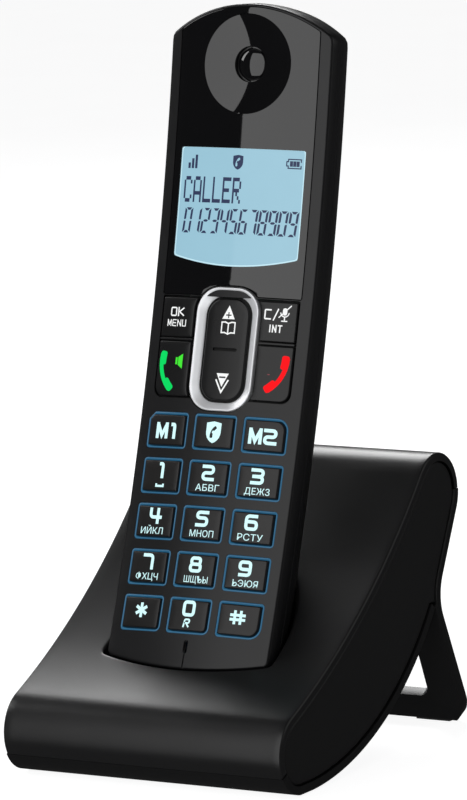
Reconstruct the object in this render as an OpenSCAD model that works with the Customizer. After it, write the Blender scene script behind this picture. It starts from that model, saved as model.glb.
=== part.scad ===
// Cordless telephone: a bowed handset standing in a wedge-shaped charging base.
// Frame: X to the right, Y to the back, Z up. The origin lies on the desk, under the
// middle of the whole object. The keypad faces -Y. All sizes are in millimetres.

/* [Base] */
// Width of the base from end to end
base_w = 82; // [78:1:88]
// Radius of the rounded nose
nose_r = 10.7; // [10.4:0.1:11]
// Height of the nose centre above the rubber feet's contact plane
nose_lift = 0.5; // [0.4:0.1:0.8]
// Radius of the hollow front sweep
sweep_r = 200; // [196:1:204]
// Radius of the rounded top edge
crest_r = 11; // [10.6:0.1:11.4]
// Wall thickness of the base mouldings
base_wall = 2.2; // [2:0.1:2.4]
// Thickness of the rear leg plate
leg_t = 3.8; // [3.4:0.1:4.2]
// Width of each upright of the leg, beside its window
leg_rail = 9; // [8:0.5:11]
// Gap between the handset and the walls of its pocket
pocket_gap = 0.9; // [0.8:0.1:1.2]

/* [Handset] */
// Length of the handset along its front face
hand_l = 172; // [170:1:174]
// Half of the handset's greatest width
hand_half_w = 24.2; // [24:0.1:24.6]
// Thickness of the handset from front to back
hand_t = 24; // [23.5:0.5:25]
// Wall thickness of the handset mouldings
hand_wall = 1.8; // [1.6:0.1:2]
// Lengthwise bow radius of the front face, which is hollow
bow_r = 730; // [700:10:760]
// Crosswise crown radius of the front face
face_r = 128; // [120:1:140]
// Lean of the handset from vertical at its lower end, in degrees
seat_lean = 23.3; // [23:0.1:23.6]

/* [Keys] */
// Column pitch of the keypad
key_pitch_u = 14.5; // [14.4:0.1:14.7]
// Row pitch of the keypad
key_pitch_s = 11.85; // [11.8:0.05:12]
// Half width of a keypad opening
cell_half_u = 6.3; // [6.2:0.1:6.4]
// Half height of a keypad opening
cell_half_s = 4.7; // [4.6:0.1:4.8]
// How far a key stands proud of the face
key_proud = 0.45; // [0.3:0.05:0.6]
// Width of the lit rim round each key
rim_w = 0.5; // [0.4:0.05:0.6]

/* [Hidden] */
// The fifteen keypad keys, from the lower row up
key_ids = ["star", "0", "hash", "7", "8", "9", "4", "5", "6", "1", "2", "3", "m1", "block", "m2"];
function key_name(k) = str("key_", key_ids[k]);

// Steps round the long bow of the handset
fine = 720;
// A length that reaches past every part, for cutting tools, and the overrun of the shorter ones
big = 120;
over = 4;

// ---- Colours ----
shell_black = "#1d1e20";
gloss_black = "#0b0c0e";
panel_black = "#141516";
key_black = "#202225";
board_green = "#1f5b3a";
tin_grey = "#b4b8bc";
satin_silver = "#c4c6c9";
glow_blue = "#2f7fae";
lcd_blue = "#9bcbdf";
gold = "#c9a24b";
rubber_grey = "#2a2a2a";
mat_grey = "#8fa3ad";
cell_blue = "#5a7d9a";
holder_white = "#f2f2f0";

// ---- Base side outline, as [y, z] points ----
nose_y = -38.7;
nose_z = nose_r + nose_lift;
sweep_c = [-119.5, 205.8];
crest_c = [35.6, 62.7];
under_r = 86;
under_c = [-36, under_r + nose_lift];
nose_top_a = 22.54;
crest_front_a = 47.3;
back_a = 28.4;
leg_a = 23.8;
// Small angles left between arcs that meet smoothly
sweep_trim_a = 0.6;
nose_end_a = 262;
under_start_a = -88.5;
foot_back_y = 49.5;
fillet_r = 12;
// Angle on the nose circle at which the front shell meets the bottom cover
seam_a = 207;

// Points on an arc, both ends included
function arc(c, r, a0, a1, n = 12) = [for (i = [0 : n]) c + r * [cos(a0 + (a1 - a0) * i / n),
                                                                sin(a0 + (a1 - a0) * i / n)]];
// Points on the sweep between two angles from its lowest direction, t below the skin
function sweep_pts(t, a0, a1, n) = arc(sweep_c, sweep_r + t, a0 - 90, a1 - 90, n);
// The flat back runs down from the crest at back_a from vertical
back_dir = [-sin(back_a), -cos(back_a)];
back_n = [cos(back_a), -sin(back_a)];
back_top = crest_c + crest_r * back_n;
leg_n = [cos(leg_a), sin(leg_a)];
foot_back = [foot_back_y, nose_lift];
// Where the back line and the outer face of the leg would cross
cross_t = ((foot_back - back_top) * leg_n) / (back_dir * leg_n);
corner = back_top + cross_t * back_dir;
turn_a = (back_a + leg_a) / 2;
tangent_len = fillet_r * tan(turn_a);
fillet_c = corner - tangent_len * back_dir + fillet_r * back_n;

// Apex, where the underside meets the inner face of the leg
foot_front = foot_back - [leg_t / cos(leg_a), 0];
function under_z(y, t = 0) = under_c[1] - sqrt(pow(under_r - t, 2) - pow(y - under_c[0], 2));
apex_y = 31.9;
apex = [apex_y, under_z(apex_y)];
under_end_a = -acos((apex_y - under_c[0]) / under_r);

// Skin of the base from the seam on the nose, over the sweep and the crest, t inside the outline
function front_skin(t) = concat(
    arc([nose_y, nose_z], nose_r - t, seam_a, 90 + nose_top_a, 10),
    sweep_pts(t, nose_top_a + sweep_trim_a, crest_front_a - sweep_trim_a, 14),
    arc(crest_c, crest_r - t, 90 + crest_front_a, 0, 12));
function back_skin(t) = concat(
    arc(crest_c, crest_r - t, 0, -back_a, 4),
    arc(fillet_c, fillet_r + t, 180 - back_a, 180 + leg_a, 8));
function under_skin(t) = concat(
    arc([nose_y, nose_z], nose_r - t, seam_a, nose_end_a, 6),
    arc(under_c, under_r - t, under_start_a, under_end_a, 14));
// The points in the opposite order
function flip(p) = [for (i = [len(p) - 1 : -1 : 0]) p[i]];
// The back without its leg: the fillet stops at this share of the leg's angle
body_turn = 0.15;
cover_turn = 0.3;
function back_skin_upper(t) = concat(
    arc(crest_c, crest_r - t, -4, -back_a, 3),
    arc(fillet_c, fillet_r + t, 180 - back_a, 180 + leg_a * body_turn, 5));
// Whole body outline without the leg, t inside the skin
function body_outline(t) = concat(front_skin(t), back_skin_upper(t), flip(under_skin(t)));

// Extrudes a [y, z] outline along X, centred
module along_x(w) rotate([90, 0, 90]) linear_extrude(w, center = true) children();

// ---- Handset frame: u across, s up the face from its lower end, d depth behind the face ----
seat = [-28.4, 27.1];
slide_len = 80;
function lean(s) = seat_lean - s / bow_r * 180 / PI;
function face_y(s) = seat[0] + bow_r * (cos(lean(s)) - cos(seat_lean));
function face_z(s) = seat[1] + bow_r * (sin(seat_lean) - sin(lean(s)));
bow_c = seat + bow_r * [-cos(seat_lean), sin(seat_lean)];
// Depth of the crowned face below its own centre line
function crown(u) = face_r - sqrt(face_r * face_r - u * u);

// Puts children on the face at s, with local X across, Y up the face and Z outwards
module on_face(s) translate([0, face_y(s), face_z(s)]) rotate([90 - lean(s), 0, 0]) children();
// Sweeps [u, d] points along the bowed handset from s0 to s1
module bowed(pts, s0, s1) translate([0, bow_c[0], bow_c[1]]) rotate([90, 0, 90])
    rotate_extrude(angle = (s1 - s0) / bow_r * 180 / PI, start = -lean(s0), $fn = fine)
        polygon([for (p = pts) [bow_r + p[1], p[0]]]);
// Extrudes [u, d] points straight along the handset's axis, from local y0 over a length l
module straight(pts, y0, l) translate([0, y0, 0]) rotate([-90, 0, 0]) linear_extrude(l) polygon(pts);

side_d = 4;
edge_in = 0.4;
back_n_exp = 2.2;
split_d = 7;
top_r = 39.6;
end_r = 108;
front_steps = 8;
back_steps = 18;

function sgn_pow(x, e) = sign(x) * pow(abs(x), e);
// Crosswise section of the handset, g inside the skin, as [u, d] points
function section(g) = concat(
    [for (i = [0 : front_steps]) let (u = (hand_half_w - g - edge_in) * (2 * i / front_steps - 1))
        [u, crown(u) + g]],
    [for (i = [0 : back_steps]) let (a = 180 * i / back_steps)
        [(hand_half_w - g) * sgn_pow(cos(a), 2 / back_n_exp),
         side_d + (hand_t - g - side_d) * pow(sin(a), 2 / back_n_exp)]]);
// The part of a section's depth range between d0 and d1, as a rectangle
function slab(half_u, d0, d1) = [[-half_u, d0], [half_u, d0], [half_u, d1], [-half_u, d1]];

// Prism that rounds the top end, and prism that rounds the lower end, g inside
module top_prism(g) on_face(hand_l - top_r) translate([0, 0, -big / 2]) linear_extrude(big) {
    circle(top_r - g, $fn = 96);
    translate([-big / 2, -2 * big]) square([big, 2 * big]);
}
module end_prism(g) on_face(0) translate([0, end_r, -big / 2]) linear_extrude(big) {
    circle(end_r - g, $fn = 96);
    translate([-end_r + g, 0]) square([2 * (end_r - g), 2 * big]);
}
module hand_solid(g) intersection() {
    bowed(section(g), -over, hand_l + over);
    top_prism(g);
    end_prism(g);
}
module hand_hollow() difference() {
    hand_solid(0);
    hand_solid(hand_wall);
}

// ---- Keypad layout ----
row0_s = 14;
function key_u(k) = (k % 3 - 1) * key_pitch_u;
function key_s(k) = row0_s + floor(k / 3) * key_pitch_s;
key_r = 1.3;
key_gap = 0.2;
key_deep = 3;
big_corner_r = 3.2;
bevel_corner_r = 2.6;
min_corner_r = 0.3;
// Corner radii [top right, top left, lower left, lower right] of key k
function key_corners(k) = [k == 14 ? big_corner_r : key_r, k == 12 ? bevel_corner_r : key_r,
                           key_r, k == 2 ? big_corner_r : key_r];

// Rectangle of half sizes a by b with four corner radii, anticlockwise from the top right
function corner_arc(c, r, a0) = [for (i = [0 : 4]) c + r * [cos(a0 + 22.5 * i), sin(a0 + 22.5 * i)]];
function round_rect(a, b, r) = concat(
    corner_arc([a - r[0], b - r[0]], r[0], 0), corner_arc([-a + r[1], b - r[1]], r[1], 90),
    corner_arc([-a + r[2], -b + r[2]], r[2], 180), corner_arc([a - r[3], -b + r[3]], r[3], 270));
// Outline of key k's opening, g smaller all round
function cell(k, g) = round_rect(cell_half_u - g, cell_half_s - g,
                                 [for (r = key_corners(k)) max(min_corner_r, r - g)]);
module at_key(k) on_face(key_s(k)) translate([key_u(k), 0, 0]) children();
// Prism through the face with outline pts, from depth d1 up to depth d0
module prism(pts, d0, d1) translate([0, 0, -d1]) linear_extrude(d1 - d0) polygon(pts);
// Slice of the crowned face between the depths d0 and d1 below it, for key-sized parts
module crowned(u0, half_u, half_s, d0, d1) translate([0, -half_s, 0]) rotate([-90, 0, 0])
    linear_extrude(2 * half_s) polygon(concat(
        [for (i = [0 : 4]) let (u = half_u * (i / 2 - 1)) [u, crown(u0 + u) + d0]],
        [[half_u, d1], [-half_u, d1]]));

// ---- Control cluster above the keypad ----
nav_s = 82.9;
nav_half_u = 9.2;
nav_half_s = 15.9;
nav_r = 6.6;
rocker_half_u = 5.7;
rocker_half_s = 12.6;
rocker_r = 4.2;
rocker_gap = 0.35;
soft_out = 20.3;
soft_mid = 85.0;
soft_low = 69.9;
soft_top = 96.1;
soft_gap = 0.35;
soft_proud = 0.3;
soft_corner_r = 2.6;
ring_clear = 0.8;
// Rectangle of half sizes a by b with equal corners
function rr(a, b, r) = round_rect(a, b, [r, r, r, r]);
// Cuts through the front shell run from above the face to behind it
face_cut = [-3, 6];

// ---- Window, display and earpiece ----
lens_half_u = 20.6;
lens_low = 96.6;
lens_t = 1.2;
lens_gap = 0.1;
lcd_half_u = 18.5;
lcd_low = 104.5;
lcd_high = 134.6;
ear_s = 156.3;
ear_r = 12.9;
ear_depth = 2.3;
ear_lip = 0.65;
ear_cap_t = 4.4;
boss_r = 4.3;
boss_gap = 0.4;
boss_bend = 8.3;
boss_top = 0.8;
bridge_w = 1.8;
// The board lies parallel to the face at this place, from its lower end to its upper end
board_s = 50;
board_low = 9;
board_l = 90;
board_d = 5.5;
board_t = 1;
board_half_u = 17.5;
cell_r = 5.25;
cell_l = 44.5;
door_top = 70;
door_d = 12.5;
door_t = 1.6;

// ---- Base parts ----
// Pocket that the handset drops into, g larger than the handset all round
floor_gap = 0.3;
well_drop = 6.2;
well_d = 11.6;
module pocket_space(g, low) {
    intersection() {
        on_face(0) straight(section(-g), -low - over, slide_len);
        end_prism(-low);
    }
    on_face(0) intersection() {
        straight(section(-g), -well_drop - low, slide_len);
        straight(slab(big, well_d - (low - floor_gap), big), -well_drop - low, slide_len);
    }
}
// Walls of the pocket, which start above the underside
pocket_wall = 2;
pocket_low = 9;
pocket_skin = 1;
// Screw posts in the front shell and the rear cover
boss_y = -22;
boss_x = 34;
boss_low = 4.8;
boss_h = 24.5;
rear_boss_y = 23;
rear_boss_low = 27.5;
rear_boss_h = 12;
post_r = 3.2;
screw_r = 1.5;
screw_head_r = 2.8;
bore_gap = 0.05;
passage_gap = 0.2;
front_screw_z = 1.7;
front_screw_l = 14;
rear_screw_z = 24.55;
rear_screw_l = 9;
// A rib ties each rear post to the rear cover's wall
rib = [2.4, 10.6, 3.5];
rib_z = 36;
// Openings in the pocket's floor for the two charging springs
spring_port = [4, 5, 3];
spring_port_z = -11;
module base_front_shell() color(shell_black) {
    difference() {
        union() {
            along_x(base_w) polygon(concat(front_skin(0), flip(front_skin(base_wall))));
            intersection() {
                along_x(base_w - 2 * base_wall) polygon(body_outline(pocket_skin));
                pocket_space(pocket_gap + pocket_wall, floor_gap + pocket_wall);
                along_x(big) translate([-big / 2, pocket_low]) square(big);
            }
            for (x = [-boss_x, boss_x])
                translate([x, boss_y, boss_low]) cylinder(h = boss_h, r = post_r, $fn = 32);
        }
        pocket_space(pocket_gap, floor_gap);
        for (x = [-boss_x, boss_x])
            translate([x, boss_y, boss_low - 0.1]) cylinder(h = 14, r = screw_r + bore_gap, $fn = 32);
        for (x = [-pad_u, pad_u]) on_face(0)
            translate([x - spring_port[0] / 2, -spring_port[1], spring_port_z]) cube(spring_port);
    }
}

// Back face frame: origin half-way down the flat back, local Z outwards, Y up the slope
back_half = 9;
back_mid = back_top + back_half * back_dir;
module on_back() translate([0, back_mid[0], back_mid[1]]) rotate([-90 - back_a, 0, 0])
    mirror([0, 1, 0]) children();
jack_x = 17;
jack_w = 13;
jack_h = 11.5;
jack_deep = 12;
jack_gap = 0.1;
jack_sunk = 0.4;
port_w = 9.8;
port_h = 6.8;
port_floor = 1.5;
latch = [4, 1.4, 3.5];
page_half = 3.5;
page_gap = 0.3;
page_rim = 1.2;
// Depth behind the flat back of the cuts that open it
back_cut = 6;
window_half_h = 9.2;
window_up = 18;
window_r = 3;
module leg_window() {
    along_leg() linear_extrude(big / 6, center = true) translate([0, window_up])
        polygon(rr(base_w / 2 - leg_rail, window_half_h, window_r));
}
// Leg plane frame: local Y runs up the leg from its foot, local X across, local Z through it
module along_leg() translate([0, foot_back[0], foot_back[1]]) rotate([90 + leg_a, 0, 0]) children();
module base_rear_cover() color(shell_black) {
    difference() {
        union() {
            along_x(base_w) polygon(concat(
                back_skin(0), [foot_back, foot_front, apex],
                flip(arc(fillet_c, fillet_r + base_wall, 180 - back_a, 180 + leg_a * cover_turn, 6)),
                flip(arc(crest_c, crest_r - base_wall, 0, -back_a, 4))));
            for (x = [-boss_x, boss_x]) intersection() {
                translate([x, rear_boss_y, rear_boss_low]) cylinder(h = rear_boss_h, r = post_r, $fn = 32);
                along_x(base_w) polygon(body_outline(base_wall + panel_gap));
            }
            for (x = [-boss_x, boss_x]) translate([x - rib[0] / 2, rear_boss_y, rib_z]) cube(rib);
        }
        leg_window();
        for (sx = [-1, 1]) translate([sx * base_w / 2, 0, 0]) along_leg() leg_corner(sx);
        for (x = [-jack_x, jack_x]) on_back()
            translate([x - jack_w / 2 - jack_gap, -jack_h / 2 - jack_gap, -back_cut])
                cube([jack_w + 2 * jack_gap, jack_h + 2 * jack_gap, back_cut + over]);
        on_back() translate([0, 0, -back_cut])
            cylinder(h = 2 * back_cut, r = page_half + page_gap, $fn = 48);
        for (x = [-boss_x, boss_x]) translate([x, rear_boss_y, rear_boss_low - 0.5])
            cylinder(h = rear_screw_l, r = screw_r + bore_gap, $fn = 32);
    }
}
// Removes the square corner of the leg outside a rounded one
leg_corner_r = 7;
module leg_corner(sx) linear_extrude(big / 6, center = true) difference() {
    translate([sx > 0 ? -leg_corner_r : -1, -2]) square([leg_corner_r + 1, leg_corner_r + 2]);
    translate([-sx * leg_corner_r, leg_corner_r]) circle(leg_corner_r, $fn = 48);
}

// Sinks for the screw heads: radius, and depth below each head's top
sink_r = 3.1;
sink_gap = 1.05;
apex_trim = [0.5, 0.2];
module base_bottom_cover() color(panel_black) {
    difference() {
        along_x(base_w) polygon(concat(under_skin(0), [apex - apex_trim], flip(under_skin(base_wall))));
        for (x = [-boss_x, boss_x]) {
            translate([x, boss_y, -1]) cylinder(h = 8, r = screw_r + passage_gap, $fn = 32);
            translate([x, boss_y, -1]) cylinder(h = front_screw_z + 1 + sink_gap, r = sink_r, $fn = 32);
            translate([x, rear_boss_y, 20]) cylinder(h = 12, r = screw_r + passage_gap, $fn = 32);
            translate([x, rear_boss_y, 18]) cylinder(h = rear_screw_z - 18 + sink_gap, r = sink_r, $fn = 32);
        }
        for (x = [-foot_x, foot_x])
            translate([x, foot_y, -1]) cylinder(h = foot_h + 1.05, r = foot_r + bore_gap, $fn = 48);
    }
}
panel_t = 2.2;
panel_sunk = 0.35;
panel_gap = 0.1;
module side_panel(sx) color(panel_black) translate([sx * (base_w / 2 - panel_sunk - panel_t / 2), 0, 0])
    along_x(panel_t) polygon(body_outline(base_wall + panel_gap));
module side_panel_left() side_panel(-1);
module side_panel_right() side_panel(1);

pcb_depth = jack_deep + 0.1;
base_board = [64, 21, 1.6];
base_board_low = -11;
base_shield = [28, 17, 2.5];
solder_gap = 0.1;
module base_pcb() color(board_green) on_back()
    translate([-base_board[0] / 2, base_board_low, -pcb_depth - base_board[2]]) cube(base_board);
module base_rf_shield() color(tin_grey) on_back()
    translate([-base_shield[0] / 2, -9, -pcb_depth - base_board[2] - base_shield[2] - solder_gap])
        cube(base_shield);
// Folded strip aerial: four bars of the given width, joined by turns alternately above and below
strip_w = 0.9;
strip_l = 6;
strip_t = 0.8;
strip_pitch = 2.6;
module base_antenna() color(gold) on_back()
    translate([-30, 2, -pcb_depth - base_board[2] - strip_t - solder_gap]) linear_extrude(strip_t)
        for (i = [0 : 3]) translate([i * strip_pitch, 0]) {
            square([strip_w, strip_l]);
            translate([0, i % 2 == 0 ? strip_l - strip_w : 0])
                square([i == 3 ? strip_w : strip_pitch + strip_w, strip_w]);
        }
module jack(x) color(gloss_black) on_back() translate([x, 0, -jack_deep]) difference() {
    translate([-jack_w / 2, -jack_h / 2, 0]) cube([jack_w, jack_h, jack_deep - jack_sunk]);
    translate([-port_w / 2, -port_h / 2, port_floor]) cube([port_w, port_h, jack_deep]);
    translate([-latch[0] / 2, -port_h / 2 - latch[1], latch[2]]) cube([latch[0], 2, jack_deep]);
}
module line_jack() jack(-jack_x);
module power_jack() jack(jack_x);
page_foot = 5.2;
page_h = 6;
module page_button() color(key_black) on_back() {
    translate([0, 0, -page_foot]) cylinder(h = page_h, r = page_half, $fn = 48);
    translate([0, 0, -page_foot - 1]) cylinder(h = 1, r = page_half + page_rim, $fn = 48);
}
switch_size = [6, 6, 2.6];
plunger_r = 1.7;
plunger_h = 1.9;
module page_switch() color(tin_grey) on_back() translate([0, 0, -pcb_depth]) {
    translate([-switch_size[0] / 2, -switch_size[1] / 2, 0]) cube(switch_size);
    translate([0, 0, switch_size[2] - 0.1]) cylinder(h = plunger_h, r = plunger_r, $fn = 32);
}
// Each charging spring is a round nose on a flat blade
spring_w = 3;
spring_r = 1.3;
blade = [spring_w, 3.2, 0.6];
module charge_springs() color(gold) for (x = [-pad_u, pad_u]) on_face(0) {
    translate([x - spring_w / 2, -1.9, -9.6]) rotate([0, 90, 0])
        cylinder(h = spring_w, r = spring_r, $fn = 32);
    translate([x - spring_w / 2, -5, -9.9]) cube(blade);
}
foot_x = 31;
foot_y = -31.5;
foot_r = 5;
foot_h = 1.15;
heel_w = 10;
heel_in = 0.3;
module base_feet() color(rubber_grey) {
    for (x = [-foot_x, foot_x]) translate([x, foot_y, 0]) cylinder(h = foot_h, r = foot_r, $fn = 48);
    for (x = [-foot_x, foot_x]) translate([x - heel_w / 2, foot_back_y - leg_t + heel_in, 0])
        cube([heel_w, leg_t - 2 * heel_in, nose_lift]);
}
module screw(l) {
    cylinder(h = 1, r = screw_head_r, $fn = 32);
    cylinder(h = l, r = screw_r, $fn = 32);
}
module base_screws() color(tin_grey) for (x = [-boss_x, boss_x]) {
    translate([x, boss_y, front_screw_z]) screw(front_screw_l);
    translate([x, rear_boss_y, rear_screw_z]) screw(rear_screw_l);
}

// ---- Handset parts ----
// Outline of a soft key between s0 and s1 on side sx, kept clear of the ring
soft_in = 5;
module soft_outline(sx, s0, s1, g) difference() {
    translate([sx > 0 ? soft_in : -soft_out + g, s0 - nav_s + g])
        square([soft_out - soft_in - g, s1 - s0 - 2 * g]);
    polygon(rr(nav_half_u + ring_clear + g, nav_half_s + ring_clear + g, nav_r + ring_clear));
    if (s0 == soft_low) translate([sx * (soft_out - g), s0 - nav_s + g]) rotate(sx > 0 ? 90 : 0)
        difference() {
            square(soft_corner_r);
            translate([soft_corner_r, soft_corner_r]) circle(soft_corner_r, $fn = 32);
        }
}
module soft_space(g, d0, d1) on_face(nav_s) translate([0, 0, -d1]) linear_extrude(d1 - d0)
    for (sx = [-1, 1]) {
        soft_outline(sx, soft_low, soft_mid, g);
        soft_outline(sx, soft_mid, soft_top, g);
    }
soft_mid_u = 13;
soft_half_u = 9;
soft_half_s = 20;
module soft_key(sx, s0, s1) color(key_black) on_face(nav_s) intersection() {
    translate([0, 0, -key_deep - 2]) linear_extrude(12) soft_outline(sx, s0, s1, soft_gap);
    translate([sx * soft_mid_u, 0, 0])
        crowned(sx * soft_mid_u, soft_half_u, soft_half_s, -soft_proud, key_deep);
}
module key_ok_menu() soft_key(-1, soft_mid, soft_top);
module key_clear_int() soft_key(1, soft_mid, soft_top);
module key_talk() soft_key(-1, soft_low, soft_mid);
module key_end() soft_key(1, soft_low, soft_mid);

// Crosswise section of the window, between the depths d0 and d1 below the crowned face
function lens_section(half_u, d0, d1) = concat(
    [for (i = [0 : 8]) let (u = half_u * (i / 4 - 1)) [u, crown(u) + d0]],
    [for (i = [8 : -1 : 0]) let (u = half_u * (i / 4 - 1)) [u, crown(u) + d1]]);
ring_ledge = 0.6;
lens_top_in = 1;
lcd_mid = (lcd_low + lcd_high) / 2;
lcd_gap = [0.3, 0.5];
lcd_corner_r = 1.5;
ear_gap = 0.3;
mic_s = 6;
mic_slot = [0.45, 1.6];
module handset_front_shell() color(shell_black) difference() {
    intersection() {
        hand_hollow();
        bowed(slab(big / 3, -over, split_d), -over, hand_l + over);
    }
    for (k = [0 : 14]) at_key(k) prism(cell(k, 0), face_cut[0], face_cut[1]);
    soft_space(0.1, face_cut[0], face_cut[1]);
    on_face(nav_s) prism(rr(nav_half_u - ring_ledge, nav_half_s - ring_ledge, nav_r - ring_ledge),
                         face_cut[0], face_cut[1]);
    intersection() {
        bowed(lens_section(lens_half_u + lens_gap, face_cut[0], lens_t + lens_gap),
              lens_low - lens_gap, hand_l + over);
        top_prism(lens_top_in - lens_gap);
    }
    on_face(lcd_mid) prism(rr(lcd_half_u + lcd_gap[0], (lcd_high - lcd_low) / 2 + lcd_gap[1], lcd_corner_r),
                           face_cut[0], face_cut[1]);
    on_face(ear_s) prism([for (a = [0 : 10 : 350]) (ear_r + ear_gap) * [cos(a), sin(a)]],
                         face_cut[0], face_cut[1]);
    on_face(mic_s) prism(rr(mic_slot[0], mic_slot[1], mic_slot[0] - 0.01), face_cut[0], face_cut[1]);
}

// The board's screws pass it above the keypad mat into bosses on the rear shell
board_screw_u = 14;
board_screw_s = 97.2;
board_screw_r = 1;
module at_board_screw() on_face(board_s) for (sx = [-1, 1])
    translate([sx * board_screw_u, board_screw_s - board_s, -board_d]) children();
// Tray between the board and the cells, closed at its top end by a wall
tray_d = board_d + board_t + 0.7;
tray_t = 1;
tray_l = 58;
tray_top = 71.2;
tray_wall = 1.4;
// Inner ribs and posts stop this far inside the skin
skin_in = 0.6;
board_post_r = 2.4;
door_gap = 0.25;
seam_gap = 0.1;
pad_u = 8;
pad_recess = [4.2, 4.2, 3.4];
ringer_s = 150;
slot_pitch = 7;
sound_slot = [1.6, 12, 30];
module handset_rear_shell() color(shell_black) difference() {
    union() {
        difference() {
            intersection() {
                hand_hollow();
                bowed(slab(big / 3, split_d + seam_gap, big / 3), -over, hand_l + over);
            }
            bowed(slab(big / 3, door_d - door_gap, big / 3), -over, door_top + door_gap);
        }
        intersection() {
            hand_solid(skin_in);
            on_face(board_s) {
                translate([-big / 2, board_low - board_s, -tray_d - tray_t]) cube([big, tray_l, tray_t]);
                translate([-big / 2, tray_top - board_s, -big / 2]) cube([big, tray_wall, big / 2 - tray_d]);
            }
        }
        intersection() {
            hand_solid(skin_in);
            at_board_screw() translate([0, 0, -big / 2])
                cylinder(h = big / 2 - board_t - bore_gap, r = board_post_r, $fn = 32);
        }
    }
    at_board_screw() translate([0, 0, -7]) cylinder(h = 8, r = board_screw_r + bore_gap, $fn = 32);
    for (x = [-pad_u, pad_u]) on_face(0) translate([x - pad_recess[0] / 2, -2, -11.3]) cube(pad_recess);
    for (i = [-2 : 2]) on_face(ringer_s)
        translate([i * slot_pitch - sound_slot[0] / 2, -sound_slot[1] / 2, -sound_slot[2] - 10])
            cube(sound_slot);
}
module battery_door() color(shell_black) intersection() {
    difference() {
        hand_solid(0);
        hand_solid(door_t);
    }
    bowed(slab(big / 3, door_d, big / 3), -over, door_top);
}
module display_window() color(gloss_black) difference() {
    intersection() {
        bowed(lens_section(lens_half_u, 0, lens_t), lens_low, hand_l + over);
        top_prism(lens_top_in);
    }
    on_face(ear_s) translate([0, 0, -8]) cylinder(h = 12, r = ear_r, $fn = 96);
    on_face(nav_s) prism(rr(nav_half_u + 0.4, nav_half_s + 0.4, nav_r + 0.4), face_cut[0], face_cut[1]);
}
// Dish of the earpiece with a dome in the middle, held by four bridges in a ring of sound slots
bowl_r = 37;
module earpiece_cap() color(gloss_black) on_face(ear_s) difference() {
    union() {
        difference() {
            translate([0, 0, -ear_cap_t]) cylinder(h = ear_cap_t - ear_lip, r = ear_r - 0.1, $fn = 96);
            translate([0, 0, bowl_r - ear_depth - ear_lip]) sphere(bowl_r, $fn = 180);
        }
        intersection() {
            translate([0, 0, -ear_cap_t + 0.2]) cylinder(h = ear_cap_t, r = boss_r, $fn = 96);
            translate([0, 0, -boss_top - boss_bend]) sphere(boss_bend, $fn = 96);
        }
    }
    difference() {
        translate([0, 0, -ear_cap_t - 1]) cylinder(h = ear_cap_t + 2, r = boss_r + boss_gap, $fn = 96);
        translate([0, 0, -ear_cap_t - 2]) cylinder(h = ear_cap_t + 4, r = boss_r, $fn = 96);
        for (a = [45, 135]) rotate(a)
            translate([-ear_r / 2, -bridge_w / 2, -ear_cap_t - 1.5]) cube([ear_r, bridge_w, 2.5]);
    }
}
speaker_r = 9;
speaker_t = 3.4;
speaker_rim_r = 6;
module earpiece_speaker() color(tin_grey) on_face(ear_s) {
    translate([0, 0, -8.6]) cylinder(h = speaker_t, r = speaker_r, $fn = 64);
    translate([0, 0, -5.3]) cylinder(h = 0.6, r = speaker_rim_r, $fn = 64);
}
lcd_glass = [2 * lcd_half_u, 33, 2];
lcd_glass_d = 5.2;
holder_rim = 1;
holder_h = 36;
holder_t = 3.2;
holder_d = 7;
fit_gap = 0.05;
module lcd_module() color(lcd_blue) on_face(lcd_mid)
    translate([-lcd_half_u, -lcd_glass[1] / 2, -lcd_glass_d]) cube(lcd_glass);
module lcd_holder() color(holder_white) on_face(lcd_mid) difference() {
    translate([-lcd_half_u - holder_rim, -holder_h / 2, -holder_d])
        cube([2 * (lcd_half_u + holder_rim), holder_h, holder_t]);
    translate([-lcd_half_u - fit_gap, -lcd_glass[1] / 2 - fit_gap, -lcd_glass_d - fit_gap])
        cube([lcd_glass[0] + 2 * fit_gap, lcd_glass[1] + 2 * fit_gap, holder_t + over]);
}
ring_proud = 0.9;
ring_seat = 0.2;
ring_flange = 0.8;
ring_flange_d = 0.5;
ring_deep = 3;
module nav_ring() color(satin_silver) on_face(nav_s) difference() {
    union() {
        prism(rr(nav_half_u - ring_flange, nav_half_s - ring_flange, nav_r - ring_flange),
              -ring_proud, ring_deep);
        prism(rr(nav_half_u, nav_half_s, nav_r), -ring_flange_d, -ring_seat);
    }
    prism(rr(rocker_half_u + rocker_gap, rocker_half_s + rocker_gap, rocker_r + rocker_gap),
          face_cut[0], face_cut[1]);
}
rocker_pivot_d = 3;
rocker_pivot_r = 0.9;
rocker_pivot_l = 8;
rocker_deep = 3.2;
rocker_sunk = 0.2;
groove = [7.2, 0.7, 2];
groove_d = 0.5;
module nav_rocker() color(key_black) on_face(nav_s) difference() {
    union() {
        prism(rr(rocker_half_u, rocker_half_s, rocker_r), rocker_sunk, rocker_deep);
        translate([-rocker_pivot_l / 2, 0, -rocker_pivot_d]) rotate([0, 90, 0])
            cylinder(h = rocker_pivot_l, r = rocker_pivot_r, $fn = 32);
    }
    translate([-groove[0] / 2, -groove[1] / 2, -groove_d]) cube(groove);
}
guide_d = 3.95;
guide_rise = 1.4;
module keypad_light_guide() color(glow_blue) for (k = [0 : 14]) at_key(k) difference() {
    intersection() {
        prism(cell(k, 0.05), -1, guide_d - guide_rise);
        crowned(key_u(k), cell_half_u, cell_half_s, 0.1, guide_d);
    }
    prism(cell(k, rim_w), -2, guide_d + 1);
}
mat_half_u = 20.8;
mat_d = [4.2, 5.2];
mat_s = [8.8, 95.6];
module keypad_mat() color(mat_grey) intersection() {
    bowed(slab(mat_half_u, mat_d[0], mat_d[1]), mat_s[0], mat_s[1]);
    on_face(board_s) translate([-mat_half_u, -big / 2, -big / 6]) cube([2 * mat_half_u, big, big / 4]);
}
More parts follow.
